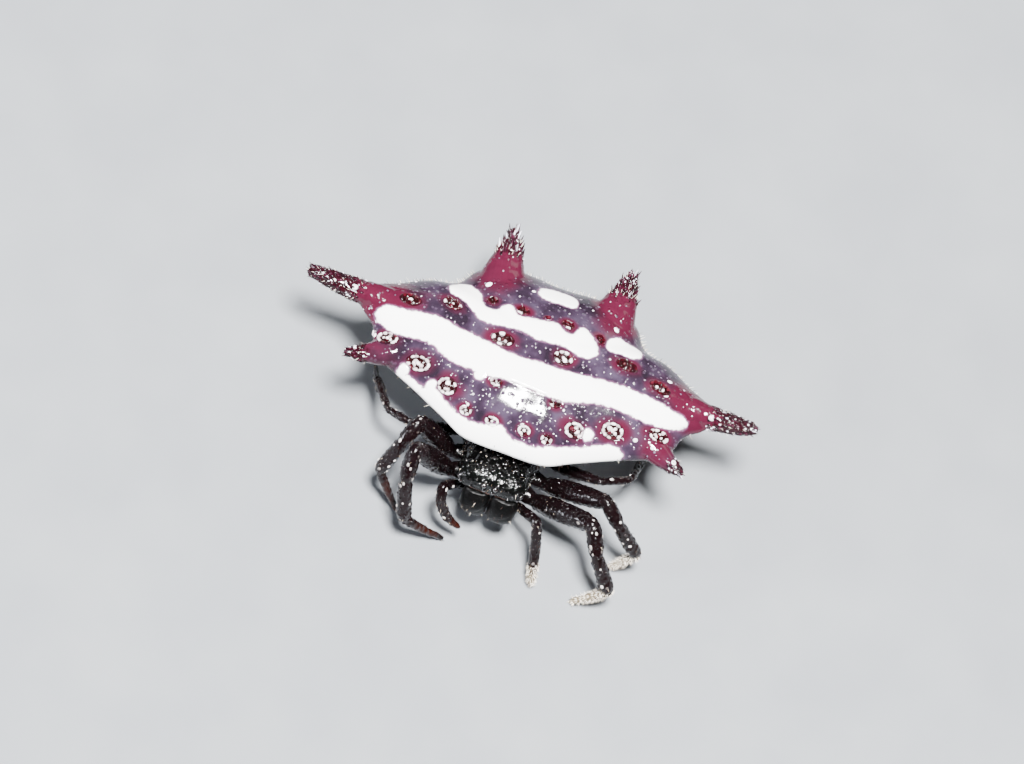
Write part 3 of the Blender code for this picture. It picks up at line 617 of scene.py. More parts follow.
# white bands, each an outline on the plate seen from above
bands = {
    "main": [(-5.60, -0.62), (-5.32, -0.34), (-4.67, -0.35), (-3.68, -0.28), (-2.87, -0.44), (-2.06, -0.58),
             (-0.75, -0.78), (0.16, -0.74), (1.43, -0.65), (2.75, -0.45), (3.79, -0.40), (4.85, -0.45),
             (5.50, -0.56), (5.30, -0.84), (4.84, -1.07), (4.17, -1.22), (3.17, -1.25), (2.36, -1.33),
             (1.36, -1.66), (0.40, -1.72), (-0.44, -1.67), (-1.40, -1.70), (-2.28, -1.64), (-2.92, -1.52),
             (-3.63, -1.22), (-4.71, -1.17), (-5.33, -0.88)],
    "front": [(-4.07, -2.31), (-3.72, -2.35), (-3.21, -2.56), (-3.04, -2.34), (-2.80, -2.52), (-2.49, -2.74),
              (-1.93, -3.03), (-1.13, -3.23), (-0.39, -3.05), (0.15, -3.28), (0.97, -3.28), (1.75, -3.00),
              (2.62, -2.63), (3.32, -2.29), (3.72, -2.32), (3.80, -2.46), (3.20, -2.95), (2.30, -3.40),
              (1.37, -3.80), (-0.07, -3.95), (-1.66, -3.80), (-2.60, -3.20), (-3.30, -2.95), (-3.99, -2.60)],
    "rear": [(-3.58, 1.13), (-3.48, 1.37), (-3.26, 1.59), (-2.95, 1.58), (-2.51, 1.26), (-2.38, 0.90),
             (-2.23, 0.70), (-1.83, 0.70), (-1.57, 1.03), (-1.36, 1.02), (-1.10, 0.75), (-0.67, 0.77),
             (-0.12, 0.88), (0.27, 0.93), (0.66, 0.70), (0.92, 0.74), (1.06, 1.10), (1.32, 1.12),
             (1.67, 0.83), (1.88, 0.40), (1.63, 0.08), (1.25, 0.02), (0.75, 0.19), (0.25, 0.12),
             (-0.28, 0.07), (-0.71, 0.18), (-1.49, 0.12), (-2.15, 0.06), (-2.62, 0.42), (-3.05, 0.76),
             (-3.40, 0.86)],
    "rearSpot": [(-0.68, 2.14), (-0.55, 2.36), (-0.20, 2.48), (0.35, 2.50), (0.62, 2.36), (0.68, 2.02),
                 (0.53, 1.86), (0.10, 1.86), (-0.52, 1.86)],
    "sideSpot": [(2.09, 1.00), (2.15, 1.26), (2.32, 1.44), (2.53, 1.48), (2.75, 1.44), (3.00, 1.46),
                 (3.22, 1.38), (3.30, 1.12), (3.20, 0.90), (2.94, 0.78), (2.66, 0.79), (2.36, 0.72),
                 (2.16, 0.77)],
}
# white lobes that run into the bands: x, y, radius
bandLobes = [(-4.08, -2.22, 0.17), (-3.02, -2.46, 0.17), (-1.58, -1.74, 0.18), (2.50, -2.32, 0.17)]
# large granules painted pale as highlights: x, y, radius
paintedHighlightKnobs = [(-5.70, -1.24, 0.13), (-5.38, -1.29, 0.10), (-2.36, 1.76, 0.16), (-0.85, 2.01, 0.09),
             (2.22, 1.74, 0.14), (4.50, 0.56, 0.12), (4.53, -0.10, 0.11), (6.22, -0.17, 0.14),
             (-6.56, -0.09, 0.14), (5.52, -2.05, 0.13), (4.68, -1.90, 0.09), (4.05, -1.87, 0.11),
             (-5.87, -2.02, 0.11), (-4.85, -1.56, 0.08),
             (-1.64, -2.75, 0.08), (0.31, -2.82, 0.08), (1.17, -2.84, 0.08), (0.78, -2.18, 0.05),
             (0.85, -2.34, 0.05), (0.97, -2.07, 0.05), (1.45, -1.94, 0.06), (0.11, -2.37, 0.05),
             (-0.31, -2.16, 0.05), (-2.40, -2.56, 0.07), (3.25, -0.37, 0.05)]


def rimHeight(x):
    # the rim rises towards the side spines
    return shield["rimZ"] + shield["sideRise"] * (x / shield["halfWidth"]) ** 2


def topHeight(edgeX, share):
    rim = rimHeight(edgeX)
    return rim + (shield["crownZ"] - rim) * (1 - share * share) ** shield["crownPower"]


def lowerHeight(edgeX, share):
    blend = ease(share, 0.55, 0.95)
    return shield["bellyTopZ"] + (rimHeight(edgeX) - shield["thick"] - shield["bellyTopZ"]) * blend


plateEdge = smoothPath(shield["half"] + [(-x, y) for x, y in shield["half"][1:-1]][::-1], 14, closed=True)
middle = np.array(shield["centre"])


def plateRing(share, height):
    flat = middle + (plateEdge - middle) * share
    return np.column_stack([flat, height(plateEdge[:, 0], share)])


def plateShape():
    # from the underside out to the lip, then over the lip and up to the crown
    below = [plateRing(s, lowerHeight) for s in np.linspace(0.05, 0.92, 12)]
    lip = [plateRing(s, lambda x, _, drop=drop: rimHeight(x) - drop)
           for s, drop in ((0.955, 0.23), (0.982, 0.15), (0.998, 0.06), (1.0, 0.0))]
    above = [plateRing(s, topHeight) for s in np.cos(np.linspace(0.06, math.pi / 2 - 0.02, 44))]
    return loft(below + lip + above)


def spineLine(root, tip, shares):
    # middle line of a spine, sagging a little
    root, tip = np.array(root), np.array(tip)
    shares = np.asarray(shares)[:, None]
    return root + (tip - root) * shares - np.array((0, 0, 0.10)) * np.sin(math.pi * shares)


def spineRadius(radii, shares):
    return np.interp(shares, np.linspace(0, 1, len(radii)), radii)


def spineShape(root, tip, radii, flat):
    # body of the spine, its end rounded off over the last radius
    length = np.linalg.norm(np.array(tip) - np.array(root))
    shares = np.linspace(-0.12, 1, 60)
    radius = spineRadius(smoothPath([(r,) for r in radii], 6)[:, 0], shares)
    toTip = np.maximum((1 - shares) * length, 0)
    rounding = np.minimum(toTip / radii[-1], 1)
    radius = radius * np.sqrt(np.maximum(1 - (1 - rounding) ** 2, 0.02))
    return loft(tube(spineLine(root, tip, shares), radius, 40, flat))


def insideDistance(points, outline):
    # signed distance to an outline, positive inside
    edge = smoothPath(outline, 3, closed=True)
    following = np.roll(edge, -1, axis=0)
    best = np.full(len(points), 1e9)
    inside = np.zeros(len(points), bool)
    for a, b in zip(edge, following):
        run = b - a
        t = np.clip(((points - a) @ run) / (run @ run), 0, 1)
        best = np.minimum(best, np.linalg.norm(points - a - t[:, None] * run, axis=1))
        crosses = (a[1] > points[:, 1]) != (b[1] > points[:, 1])
        rise = b[1] - a[1] if abs(b[1] - a[1]) > 1e-9 else 1e-9
        inside ^= crosses & (points[:, 0] < a[0] + (points[:, 1] - a[1]) * run[0] / rise)
    return np.where(inside, best, -best)


def ripple(points, size, seed):
    # cheap smooth noise from a few crossed waves, -1 to 1
    waves = np.random.default_rng(seed)
    count = 7
    total = np.zeros(len(points))
    for _ in range(count):
        heading = unit(waves.normal(size=3))
        length = size * waves.uniform(0.7, 1.4)
        total += np.sin(points @ heading * (2 * math.pi / length) + waves.uniform(0, 6.3))
    return total / (count / 2)


def shieldFields(points, ups):
    # what colours and shapes the shield at each point: distance inside a band and inside the rim, level in a
    # muscle mark from 0 at its middle to 1 at its edge, and how far the point is horn or blushed
    level = np.full(len(points), 9.0)
    for _, place, along, across, out, halfLength, halfWidth in markFrames:
        local = points - place
        here = np.hypot(local @ along / halfLength, local @ across / halfWidth)
        level = np.minimum(level, np.where(np.abs(local @ out) < 0.4, here, 9.0))
    band = np.full(len(points), -1.0)
    for outline in bands.values():
        band = np.maximum(band, insideDistance(points[:, :2], outline))
    for x, y, radius in bandLobes:
        band = np.maximum(band, radius - np.hypot(points[:, 0] - x, points[:, 1] - y))
    band = np.where(ups[:, 2] > -0.35, band, -1.0)
    rim = insideDistance(points[:, :2], [tuple(p) for p in plateEdge[::4]])
    rim = rim + np.where(ups[:, 2] > 0, 0.08, -0.1)
    horn = np.zeros(len(points))
    blush = 0.60 * ease(level, 2.6, 1.0)
    for name, (root, tip, radii, _, darkFrom, _, _) in spines.items():
        axis = np.array(tip) - np.array(root)
        share = (points - root) @ axis / (axis @ axis)
        offLine = np.linalg.norm(points - spineLine(root, tip, share), axis=1)
        onSpine = offLine < spineRadius(radii, share) + 0.25
        horn = np.maximum(horn, np.where(onSpine, np.clip(share - darkFrom + 0.47, 0, 1), 0))
        rim = np.where(onSpine & (share > 0.08), 1.0, rim)
        reach = 1.6 if name.startswith("rear") else 1.3
        most = 0.60 if name.startswith("front") else 1.0
        blush = np.maximum(blush, most * ease(offLine, reach, 0.35) * ease(share, -0.75, 0.1))
    return {"band": band, "mark": level, "horn": horn, "blush": blush, "rim": rim}


def shieldRelief(points, field, onTop):
    # the bands stand a little proud and the ground between them is uneven
    raised = 0.030 * ease(field["band"], -0.03, 0.07) * onTop
    uneven = 0.007 * ripple(points, 1.1, 5) + 0.002 * ripple(points, 0.35, 6)
    pebbled = 0.010 * ripple(points, 0.26, 7) * ease(field["blush"], 0.75, 0.95)
    return raised + (uneven + pebbled) * ease(field["band"], 0.1, -0.1)


def evenTop(obj):
    # lays the skin exactly on the plate's own upper face, clear of the spines
    verts, ups = coordinates(obj), normals(obj)
    run, edgeRun = verts[:, :2] - middle, plateEdge - middle
    turns, turn = np.arctan2(edgeRun[:, 1], edgeRun[:, 0]), np.arctan2(run[:, 1], run[:, 0])
    out = np.interp(turn, turns, np.hypot(edgeRun[:, 0], edgeRun[:, 1]), period=2 * math.pi)
    edgeX = np.interp(turn, turns, plateEdge[:, 0], period=2 * math.pi)
    share = np.hypot(run[:, 0], run[:, 1]) / out
    weight = ease(share, 0.985, 0.93) * ease(ups[:, 2], 0.2, 0.35)
    for root, tip, radii, *_ in spines.values():
        axis = np.array(tip) - np.array(root)
        along = np.clip((verts - root) @ axis / (axis @ axis), -0.12, 1)
        clear = np.linalg.norm(verts - spineLine(root, tip, along), axis=1) - spineRadius(radii, along)
        weight *= ease(clear, 0.05, 0.35)
    verts[:, 2] += weight * (topHeight(edgeX, np.minimum(share, 1)) - verts[:, 2])
    setCoordinates(obj, verts)


shieldSkin = skinOver("abdomenShield", [plateShape()] + [spineShape(*s[:4]) for s in spines.values()],
                      shield["voxel"], shield["smoothing"])
evenTop(shieldSkin)
skinVerts, skinUps = coordinates(shieldSkin), normals(shieldSkin)
shieldSurface = surfaceOf(shieldSkin)

markFrames = []
for row, rowMarks in marks.items():
    for x, y, halfLength, halfWidth, turned in rowMarks:
        place, out = (np.array(found) for found in dropOn(shieldSurface, x, y))
        heading = np.array((math.cos(math.radians(turned)), math.sin(math.radians(turned)), 0.0))
        along = unit(heading - out * (out @ heading))
        markFrames.append((row, place, along, np.cross(out, along), out, halfLength, halfWidth))

onTop = ease(skinUps[:, 2], 0.0, 0.25)
skinField = shieldFields(skinVerts, skinUps)
sunkUnderMarks = -0.06 * ease(skinField["mark"], 1.04, 0.86)
hornLumps = 0.02 * ripple(skinVerts, 0.2, 8) * ease(skinField["horn"], 0.35, 0.5)
relief = shieldRelief(skinVerts, skinField, onTop) + sunkUnderMarks + hornLumps
setCoordinates(shieldSkin, skinVerts + skinUps * relief[:, None])
for name, values in skinField.items():
    setField(shieldSkin, name, values)
print("shield skin", len(skinVerts), "vertices")


def markLumps(row, halfLength, halfWidth):
    # a ring of lumps near the edge and a few on the boss in the middle:
    # place along and across, tangent, half length, half width, height, tone
    height, inner, pale = markLook[row]
    ring = markGrid["ring"]

    # a pale tone paints a highlight on the lump
    def tone():
        return draw.uniform(*markGrid["pale" if draw.random() < pale else "dark"])

    around = 2 * math.pi * ring * math.sqrt((halfLength ** 2 + halfWidth ** 2) / 2)
    count = max(5, round(around / markGrid["lumpSpacing"]))
    lumps = []
    for i in range(count):
        turn = 2 * math.pi * (i + draw.uniform(-0.22, 0.22)) / count
        u, v = ring * halfLength * math.cos(turn), ring * halfWidth * math.sin(turn)
        tangent = unit(np.array((-halfLength * math.sin(turn), halfWidth * math.cos(turn))))
        halfLong = around / count * draw.uniform(0.50, 0.66)
        halfWide = markGrid["lumpAcross"] * draw.uniform(0.85, 1.2)
        lumps.append((u, v, tangent, halfLong, halfWide, height * draw.uniform(0.7, 1.15), tone()))
    small = min(halfLength, halfWidth)
    for i in range(inner if small > 0.2 else 1):
        turn = 2.4 * i + draw.uniform(0, 1.5)
        out = 0.0 if i == 0 else markGrid["boss"]
        u, v = out * (halfLength - 0.12) * math.cos(turn), out * (halfWidth - 0.08) * math.sin(turn)
        tangent = unit(draw.normal(size=2))
        size = small * draw.uniform(0.20, 0.30)
        halfLong = size * draw.uniform(1.0, 1.4)
        lumps.append((u, v, tangent, halfLong, size, height * draw.uniform(0.8, 1.1), tone()))
    return lumps


def markPatch(row, place, along, across, out, halfLength, halfWidth):
    # one oval mark: a lumpy rim, a groove and a boss, its edge sunk into the shield
    turn = circle(markGrid["turns"])
    edge = markGrid["edge"]
    levels = [0.7] + list(np.linspace(edge, 0.96, 5)) + list(np.linspace(0.92, 0.03, markGrid["levels"]))
    rings = [np.column_stack([halfLength * s * np.cos(turn), halfWidth * s * np.sin(turn)]) for s in levels]
    flat = np.vstack(rings)
    starts = place + flat[:, :1] * along + flat[:, 1:] * across + out * 0.8
    hits = [shieldSurface.ray_cast(Vector(start), Vector(-out)) for start in starts]
    ground, ups = np.array([hit[0] for hit in hits]), np.array([hit[1] for hit in hits])
    field = shieldFields(ground, ups)
    level = np.repeat(levels, len(turn))
    best, tone, height = np.zeros(len(flat)), np.full(len(flat), 0.15), np.zeros(len(flat))
    for u, v, tangent, halfLong, halfWide, lumpHeight, lumpTone in markLumps(row, halfLength, halfWidth):
        local = flat - (u, v)
        side = np.array((-tangent[1], tangent[0]))
        dome = 1 - (local @ tangent / halfLong) ** 2 - (local @ side / halfWide) ** 2
        covers = dome > best
        best, tone = np.where(covers, dome, best), np.where(covers, lumpTone, tone)
        height = np.maximum(height, lumpHeight * np.clip(dome, 0, 1) ** 0.65)
    rimCrest = 0.035 * np.exp(-((level - 0.84) / 0.16) ** 2) - 0.035 * np.exp(-((level - 0.55) / 0.11) ** 2)
    sinking = -markGrid["sunk"] * ease(level, 0.98, edge)
    total = shieldRelief(ground, field, np.ones(len(flat))) + rimCrest + height + sinking
    total[:len(turn)] = -0.18
    verts, faces = loft((ground + out * total[:, None]).reshape(len(levels), len(turn), 3))
    crease = ease(best, 0.30, 0.0) * ease(level, 1.02, 0.90)
    field.update({"mark": level, "crease": crease, "tone": tone})
    ends = {name: [values[:len(turn)].mean(), values[-len(turn):].mean()] for name, values in field.items()}
    return (verts, faces), {name: np.concatenate([values, ends[name]]) for name, values in field.items()}


patches = [markPatch(*each) for each in markFrames]
muscleMarks = rawObject("muscleMarks", *joined([shape for shape, _ in patches]))
for name in patches[0][1]:
    setField(muscleMarks, name, np.concatenate([field[name] for _, field in patches]))
print("muscle marks", len(muscleMarks.data.polygons), "faces")

# granules on the ground colour between the bands and marks, and a few large pale ones, which are painted
# highlights
shieldUps = normals(shieldSkin)
granuleLook = {"tries": 2200, "spacing": 0.26, "radius": (0.024, 0.026), "wide": (0.75, 1.0),
               "flat": (0.25, 0.4), "tone": (0.36, 0.18), "paintedHighlightTone": (0.85, 1.0), "knobScale": 0.8}
openGround = (skinField["band"] < -0.06) & (skinField["mark"] > 1.18) & (shieldUps[:, 2] > -0.1)
openGround = (openGround & (skinField["horn"] < 0.36)).astype(float)
thinned = openGround * (1 - 0.97 * skinField["blush"])
places, ups, corners = scattered(shieldSkin, granuleLook["tries"], granuleLook["spacing"], thinned + 1e-6)
near = openGround[corners].min(1) > 0.5
places, ups = places[near], ups[near]
size = granuleLook["radius"][0] + granuleLook["radius"][1] * draw.random(len(places)) ** 1.6
tones = np.clip(draw.normal(*granuleLook["tone"], len(places)), 0, 1)
displaced = surfaceOf(shieldSkin)
for x, y, radius in paintedHighlightKnobs:
    place, out = dropOn(displaced, x, y)
    if place is None:
        place, out, _, _ = displaced.find_nearest(Vector((x, y, rimHeight(x))))
    places, ups = np.vstack([places, place]), np.vstack([ups, out])
    size = np.append(size, radius * granuleLook["knobScale"])
    tones = np.append(tones, draw.uniform(*granuleLook["paintedHighlightTone"]))
count = len(places)
granuleSizes = np.column_stack([size, size * draw.uniform(*granuleLook["wide"], count),
                                size * draw.uniform(*granuleLook["flat"], count)])
granules = copies("plateGranules", ballTemplate(2), places, axesOn(ups, draw.normal(size=(count, 3))),
                  granuleSizes, tones, abdomenUnwrap(places, ups))
print("granules", count)


def spineSpots(root, tip, shares, turns):
    # places on a spine's skin, looked for from outside towards its middle line
    axis = unit(np.array(tip) - np.array(root))
    side = unit(np.cross(axis, up3))
    over = np.cross(side, axis)
    spots = []
    for share, turn in zip(shares, turns):
        outHere = side * math.cos(turn) + over * math.sin(turn)
        centre = spineLine(root, tip, [share])[0]
        found, hit, _, _ = displaced.ray_cast(Vector(centre + outHere * 1.2), Vector(-outHere))
        if found is not None:
            spots.append((np.array(found), np.array(hit), axis))
    return spots


def spineCopies(name, template, rows, outAxis):
    # one mesh from rows of place, axes, size and tone; outAxis is the axis that points out of the skin
    places, axes, sizes, tones = (np.array(column) for column in zip(*rows))
    return copies(name, template, places, axes, sizes, tones, abdomenUnwrap(places, axes[:, outAxis]))


# drop-like nodules in loose rows along each spine, a share of them small and bluish white as painted glints
noduleLook = {"radius": (0.028, 0.050), "long": (1.1, 1.8), "high": 0.75, "raised": 0.2, "before": 0.06,
              "last": 0.985, "paleShare": 0.11, "paintedGlintTone": 0.97, "paintedGlintScale": 0.72}
rows = []
for root, tip, _, _, darkFrom, count, _ in spines.values():
    start = darkFrom - noduleLook["before"]
    shares = start + (noduleLook["last"] - start) * ((np.arange(count) + draw.random(count)) / count) ** 0.8
    turns = goldenTurn * np.arange(count) + draw.uniform(-0.3, 0.3, count)
    for found, hit, axis in spineSpots(root, tip, shares, turns):
        # a pale nodule is a painted glint: smaller, with a near-white tone
        pale = draw.random() < noduleLook["paleShare"]
        size = draw.uniform(*noduleLook["radius"]) * (noduleLook["paintedGlintScale"] if pale else 1.0)
        sizes = (size * draw.uniform(*noduleLook["long"]), size, size * noduleLook["high"])
        darkTone = draw.choice([draw.uniform(0, 0.4), draw.uniform(0.4, 0.8)], p=[0.7, 0.3])
        rows.append((found + hit * size * noduleLook["raised"], axesOn(hit[None], axis[None])[0], sizes,
                     noduleLook["paintedGlintTone"] if pale else darkTone))
spineNodules = spineCopies("spineNodules", ballTemplate(2), rows, 2)
print("spine nodules", len(rows))

# blunt spicules: they lie along the side spines and stand round the upper half of the rear ones;
# length, radius, how far they lift off the spine, tone
# the palest spicule tones fall on the colour row's bluish white: painted glints
spiculeLook = {"median": ((0.13, 0.22), 0.024, (0.14, 0.40), (0.2, 0.96)),
               "front": ((0.10, 0.18), 0.026, (0.15, 0.40), (0.2, 0.9)),
               "rear": ((0.16, 0.30), 0.034, (0.12, 0.38), (0.3, 1.0))}
spiculeSunk, spiculeCrown = 0.06, 8     # depth of the root, and how many stand round each tip
rows = []
for name, (root, tip, _, _, darkFrom, _, count) in spines.items():
    lengths, width, lifts, tones = next(look for kind, look in spiculeLook.items() if name.startswith(kind))
    shares = darkFrom + (0.93 - darkFrom) * (np.arange(count) + draw.random(count)) / count
    shares[-spiculeCrown:] = 0.90 + 0.06 * draw.random(spiculeCrown)
    turns = goldenTurn * np.arange(count) + draw.uniform(-0.3, 0.3, count)
    for found, hit, axis in spineSpots(root, tip, shares, turns):
        lift = draw.uniform(*lifts)
        heading = unit(axis * (1 - lift * 0.5) + hit * lift + draw.normal(scale=0.08, size=3))
        side = unit(np.cross(heading, hit + 1e-4))
        thick = width * draw.uniform(0.8, 1.25)
        length = draw.uniform(*lengths) + spiculeSunk
        rows.append((found - heading * spiculeSunk, (heading, side, np.cross(heading, side)),
                     (length, thick, thick), draw.uniform(*tones)))
spineSpicules = spineCopies("spineSpicules", spiculeTemplate(), rows, 0)
print("spicules", len(rows))

# short setae: thin fuzz on the rim, paler and denser behind, and hairs on the spines
rimHairs = {"tries": 2400, "spacing": 0.07, "loose": 0.35, "length": (0.10, 0.24), "lift": (0.3, 0.7),
            "curl": (0.1, 0.6), "behindFrom": (0.4, 1.4), "paleShare": (0.15, 0.6), "pale": (0.8, 1.0),
            "dark": 0.3}
spineHairs = {"tries": 1800, "spacing": 0.065, "loose": 0.2, "length": (0.10, 0.21), "lift": (0.35, 0.75),
              "curl": (0.2, 0.7), "tones": (0.1, 0.5, 0.95), "toneShares": (0.50, 0.20, 0.30), "reach": 2.0}
behind = ease(skinVerts[:, 1], *rimHairs["behindFrom"])
edgeWeight = ease(np.abs(skinField["rim"] - 0.02), 0.14, 0.03) * (0.03 + 0.97 * behind) + 1e-6
places, ups, _ = scattered(shieldSkin, rimHairs["tries"], rimHairs["spacing"], edgeWeight)
outward = unit(np.column_stack([places[:, :2] - middle, np.zeros(len(places))]))
lie = unit(outward + draw.normal(scale=rimHairs["loose"], size=outward.shape) - up3 * 0.1)
count = len(places)
least, more = rimHairs["paleShare"]
pale = draw.random(count) < least + more * ease(places[:, 1], *rimHairs["behindFrom"])
tones = np.where(pale, draw.uniform(*rimHairs["pale"], count), rimHairs["dark"])
rimBristles = bristles("rimBristles", places, ups, lie, draw.uniform(*rimHairs["length"], count),
                       np.full(count, bristleShape["width"]), draw.uniform(*rimHairs["lift"], count),
                       draw.uniform(*rimHairs["curl"], count), tones, abdomenUnwrap(places, ups))
spineWeight = (skinField["horn"] > 0.42) * (0.6 + behind) + 1e-6
places, ups, _ = scattered(shieldSkin, spineHairs["tries"], spineHairs["spacing"], spineWeight)
lie = np.zeros_like(places)
for root, tip, *_ in spines.values():
    closest = np.linalg.norm(places - (np.array(root) + np.array(tip)) / 2, axis=1) < spineHairs["reach"]
    lie[closest] = unit(np.array(tip) - np.array(root))
spineBristles = hairs("spineBristles", places, ups, lie, spineHairs, abdomenUnwrap(places, ups))
print("shield bristles", len(rimBristles.data.polygons) + len(spineBristles.data.polygons), "faces")

finishPiece(shieldSkin, finishes["shield"], "abdomen_plate", "abdomen_shield")
for obj, finish in ((muscleMarks, "shield"), (granules, "granule"), (spineNodules, "hornNodule"),
                    (spineSpicules, "hornNodule"), (rimBristles, "bristle"), (spineBristles, "bristle")):
    finishPiece(obj, finishes[finish], "abdomen_plate")


# Belly

belly = {
    # height, half width, half length and y of the middle
    "sections": [(3.84, 4.70, 2.62, 0.00), (3.62, 3.70, 2.12, 0.22), (3.36, 3.12, 1.90, 0.34),
                 (3.02, 2.66, 1.68, 0.44), (2.62, 2.16, 1.46, 0.52), (2.22, 1.72, 1.24, 0.57),
                 (1.86, 1.34, 1.04, 0.60), (1.56, 1.02, 0.84, 0.60), (1.32, 0.78, 0.70, 0.60)],
    # how far out it runs under the plate and how far it drops there
    "under": [(0.2, 0.0), (0.5, 0.0), (0.80, 0.0), (0.83, 0.04), (0.80, 0.16)],
    "sides": 240, "folds": 18, "foldDepth": 0.05, "wrinkle": 0.022, "wrinkleSize": 0.35, "voxel": 0.06,
}


def bellyShape():
    # a folded cone from under the plate down to the spinnerets
    rings = []
    step = len(plateEdge) / belly["sides"]
    picked = plateEdge[(np.arange(belly["sides"]) * step).astype(int) % len(plateEdge)]
    for share, drop in belly["under"]:
        flat = middle + (picked - middle) * share
        rings.append(np.column_stack([flat, lowerHeight(picked[:, 0], min(share, 0.8)) + 0.03 - drop]))
    sections = smoothPath(belly["sections"], 8)
    turn = circle(belly["sides"])
    for i, (z, halfWidth, halfLength, centreY) in enumerate(sections):
        depth = belly["foldDepth"] * math.sin(math.pi * i / (len(sections) - 1))
        ripples = 0.03 * math.sin(i * 0.9) * min(1, i / 8)
        swell = 1 + (depth * np.cos(belly["folds"] * turn) + ripples) / halfWidth
        rings.append(np.column_stack([halfWidth * swell * np.sin(turn),
                                      centreY - halfLength * swell * np.cos(turn), np.full(len(turn), z)]))
    return loft(rings)


bellySkin = skinOver("abdomenBelly", [bellyShape()], belly["voxel"], 4)
verts, ups = coordinates(bellySkin), normals(bellySkin)
relief = belly["wrinkle"] * ripple(verts, belly["wrinkleSize"], 12) - 0.01
setCoordinates(bellySkin, verts + ups * relief[:, None])
finishPiece(bellySkin, finishes["belly"], "abdomen_belly", "abdomen_underside")

# the collar's heights and radii, and each pair of cones: x, y, radius and height of the tip
spinning = {"ringZ": (1.28, 1.20, 1.08, 0.98), "ringR": (0.58, 0.62, 0.57, 0.46), "middleY": 0.60,
            "cones": [(0.20, 0.42, 0.17, 0.56), (0.20, 0.80, 0.17, 0.58), (0.08, 0.61, 0.10, 0.66)],
            "coneRootZ": 1.14, "along": (0, 0.55, 0.62, 0.66, 0.9, 1),
            "taper": (1, 0.92, 0.74, 0.78, 0.5, 0.16), "sides": 60}


def spinneretShapes():
    turn = circle(spinning["sides"])
    c, s, middleY = np.cos(turn), np.sin(turn), spinning["middleY"]
    shapes = [loft([np.column_stack([r * c, middleY + r * s, np.full(len(turn), z)])
                    for z, r in zip(spinning["ringZ"], spinning["ringR"])])]
    shares = np.linspace(0, 1, 16)
    for x, y, radius, tipZ in spinning["cones"]:
        for _, hand in hands:
            root = np.array((x * hand * 1.1, y, spinning["coneRootZ"]))
            tip = np.array((x * hand * 0.75, y, tipZ))
            radii = radius * np.interp(shares, spinning["along"], spinning["taper"])
            shapes.append(loft(tube(root + (tip - root) * shares[:, None], radii, 24)))
    return shapes


spinneretSkin = skinOver("spinneretGroup", spinneretShapes(), 0.025, 2)
finishPiece(spinneretSkin, finishes["belly"], "abdomen_belly", "spinnerets")

waistPath = smoothPath([(0, -1.42, 2.62), (0, -1.25, 2.62), (0, -1.0, 2.63), (0, -0.80, 2.64)], 8)
waistRadii = np.interp(np.linspace(0, 1, len(waistPath)), (0, 0.2, 0.5, 0.8, 1),
                       (0.27, 0.22, 0.19, 0.23, 0.27))
waist = rawObject("waist", *loft(tube(waistPath, waistRadii, 32)))
finishPiece(waist, finishes["belly"], "abdomen_belly", "pedicel")
print("belly made")


# Head and thorax shell

shell = {
    # y, half width, top and bottom of each section
    "sections": [(-1.42, 0.62, 2.86, 2.42), (-1.62, 0.98, 3.00, 2.38), (-1.95, 1.26, 3.14, 2.36),
                 (-2.35, 1.42, 3.28, 2.36), (-2.80, 1.40, 3.44, 2.36), (-3.20, 1.30, 3.60, 2.36),
                 (-3.55, 1.24, 3.73, 2.40), (-3.90, 1.23, 3.80, 2.62), (-4.15, 1.21, 3.80, 2.92),
                 (-4.38, 1.15, 3.74, 2.96), (-4.54, 1.02, 3.60, 2.99), (-4.62, 0.80, 3.42, 3.05)],
    "sides": 140, "voxel": 0.035,
}
# the frame's node, x and z of the middle, radius, and degrees that it looks aside
eyes = {"frontMedian": ("eye_front_median", 0.16, 3.28, 0.095, 0),
        "rearMedian": ("eye_rear_median", 0.20, 3.50, 0.105, 0),
        "frontLateral": ("eye_front_lateral", 0.96, 3.22, 0.080, 30),
        "rearLateral": ("eye_rear_lateral", 1.08, 3.34, 0.085, 58)}
# the largest tubercles on top of the head: x, y, radius
headKnobs = [(-0.17, -3.60, 0.085), (0.02, -3.81, 0.075), (0.26, -3.65, 0.100), (-0.12, -3.91, 0.070),
             (-0.30, -4.12, 0.070), (0.61, -3.79, 0.080), (-0.55, -3.88, 0.055), (-0.34, -3.75, 0.060),
             (-0.87, -3.89, 0.055)]
headStuds = {"tries": 2600, "spacing": 0.165, "radius": (0.028, 0.040), "high": 0.6}
headHairs = {"tries": 160, "spacing": 0.10, "loose": 0.4, "length": (0.10, 0.22), "lift": (0.35, 0.8),
             "curl": (0.3, 0.9), "tones": (0.1, 0.55, 0.9), "toneShares": (0.45, 0.3, 0.25)}


def carapaceRing(y, halfWidth, top, low):
    # a squarish oval, fuller below than above
    turn = circle(shell["sides"])
    c, s = np.cos(turn), np.sin(turn)
    centreZ = low + (top - low) * 0.42
    x = halfWidth * np.sign(c) * np.abs(c) ** 0.72
    above = centreZ + (top - centreZ) * np.abs(s) ** 0.85
    below = centreZ - (centreZ - low) * np.abs(s) ** 0.55
    return np.column_stack([x, np.full(len(x), y), np.where(s >= 0, above, below)])


def headUnwrap(places, ups):
    u = (places[:, 0] + 1.6) / 3.2
    v = (places[:, 1] + 5.2) / 4.2
    return np.clip(np.stack([u, np.where(ups[:, 2] > 0, v * 0.48 + 0.51, v * 0.48)], 1), 0, 1)


headSkin = skinOver("carapaceShell", [loft([carapaceRing(*s) for s in smoothPath(shell["sections"], 6)])],
                    shell["voxel"], 3)
headSurface = surfaceOf(headSkin)
verts, ups = coordinates(headSkin), normals(headSkin)
eyePlaces = []
relief = 0.014 * ripple(verts, 0.5, 31) + 0.008 * ripple(verts, 0.16, 32)
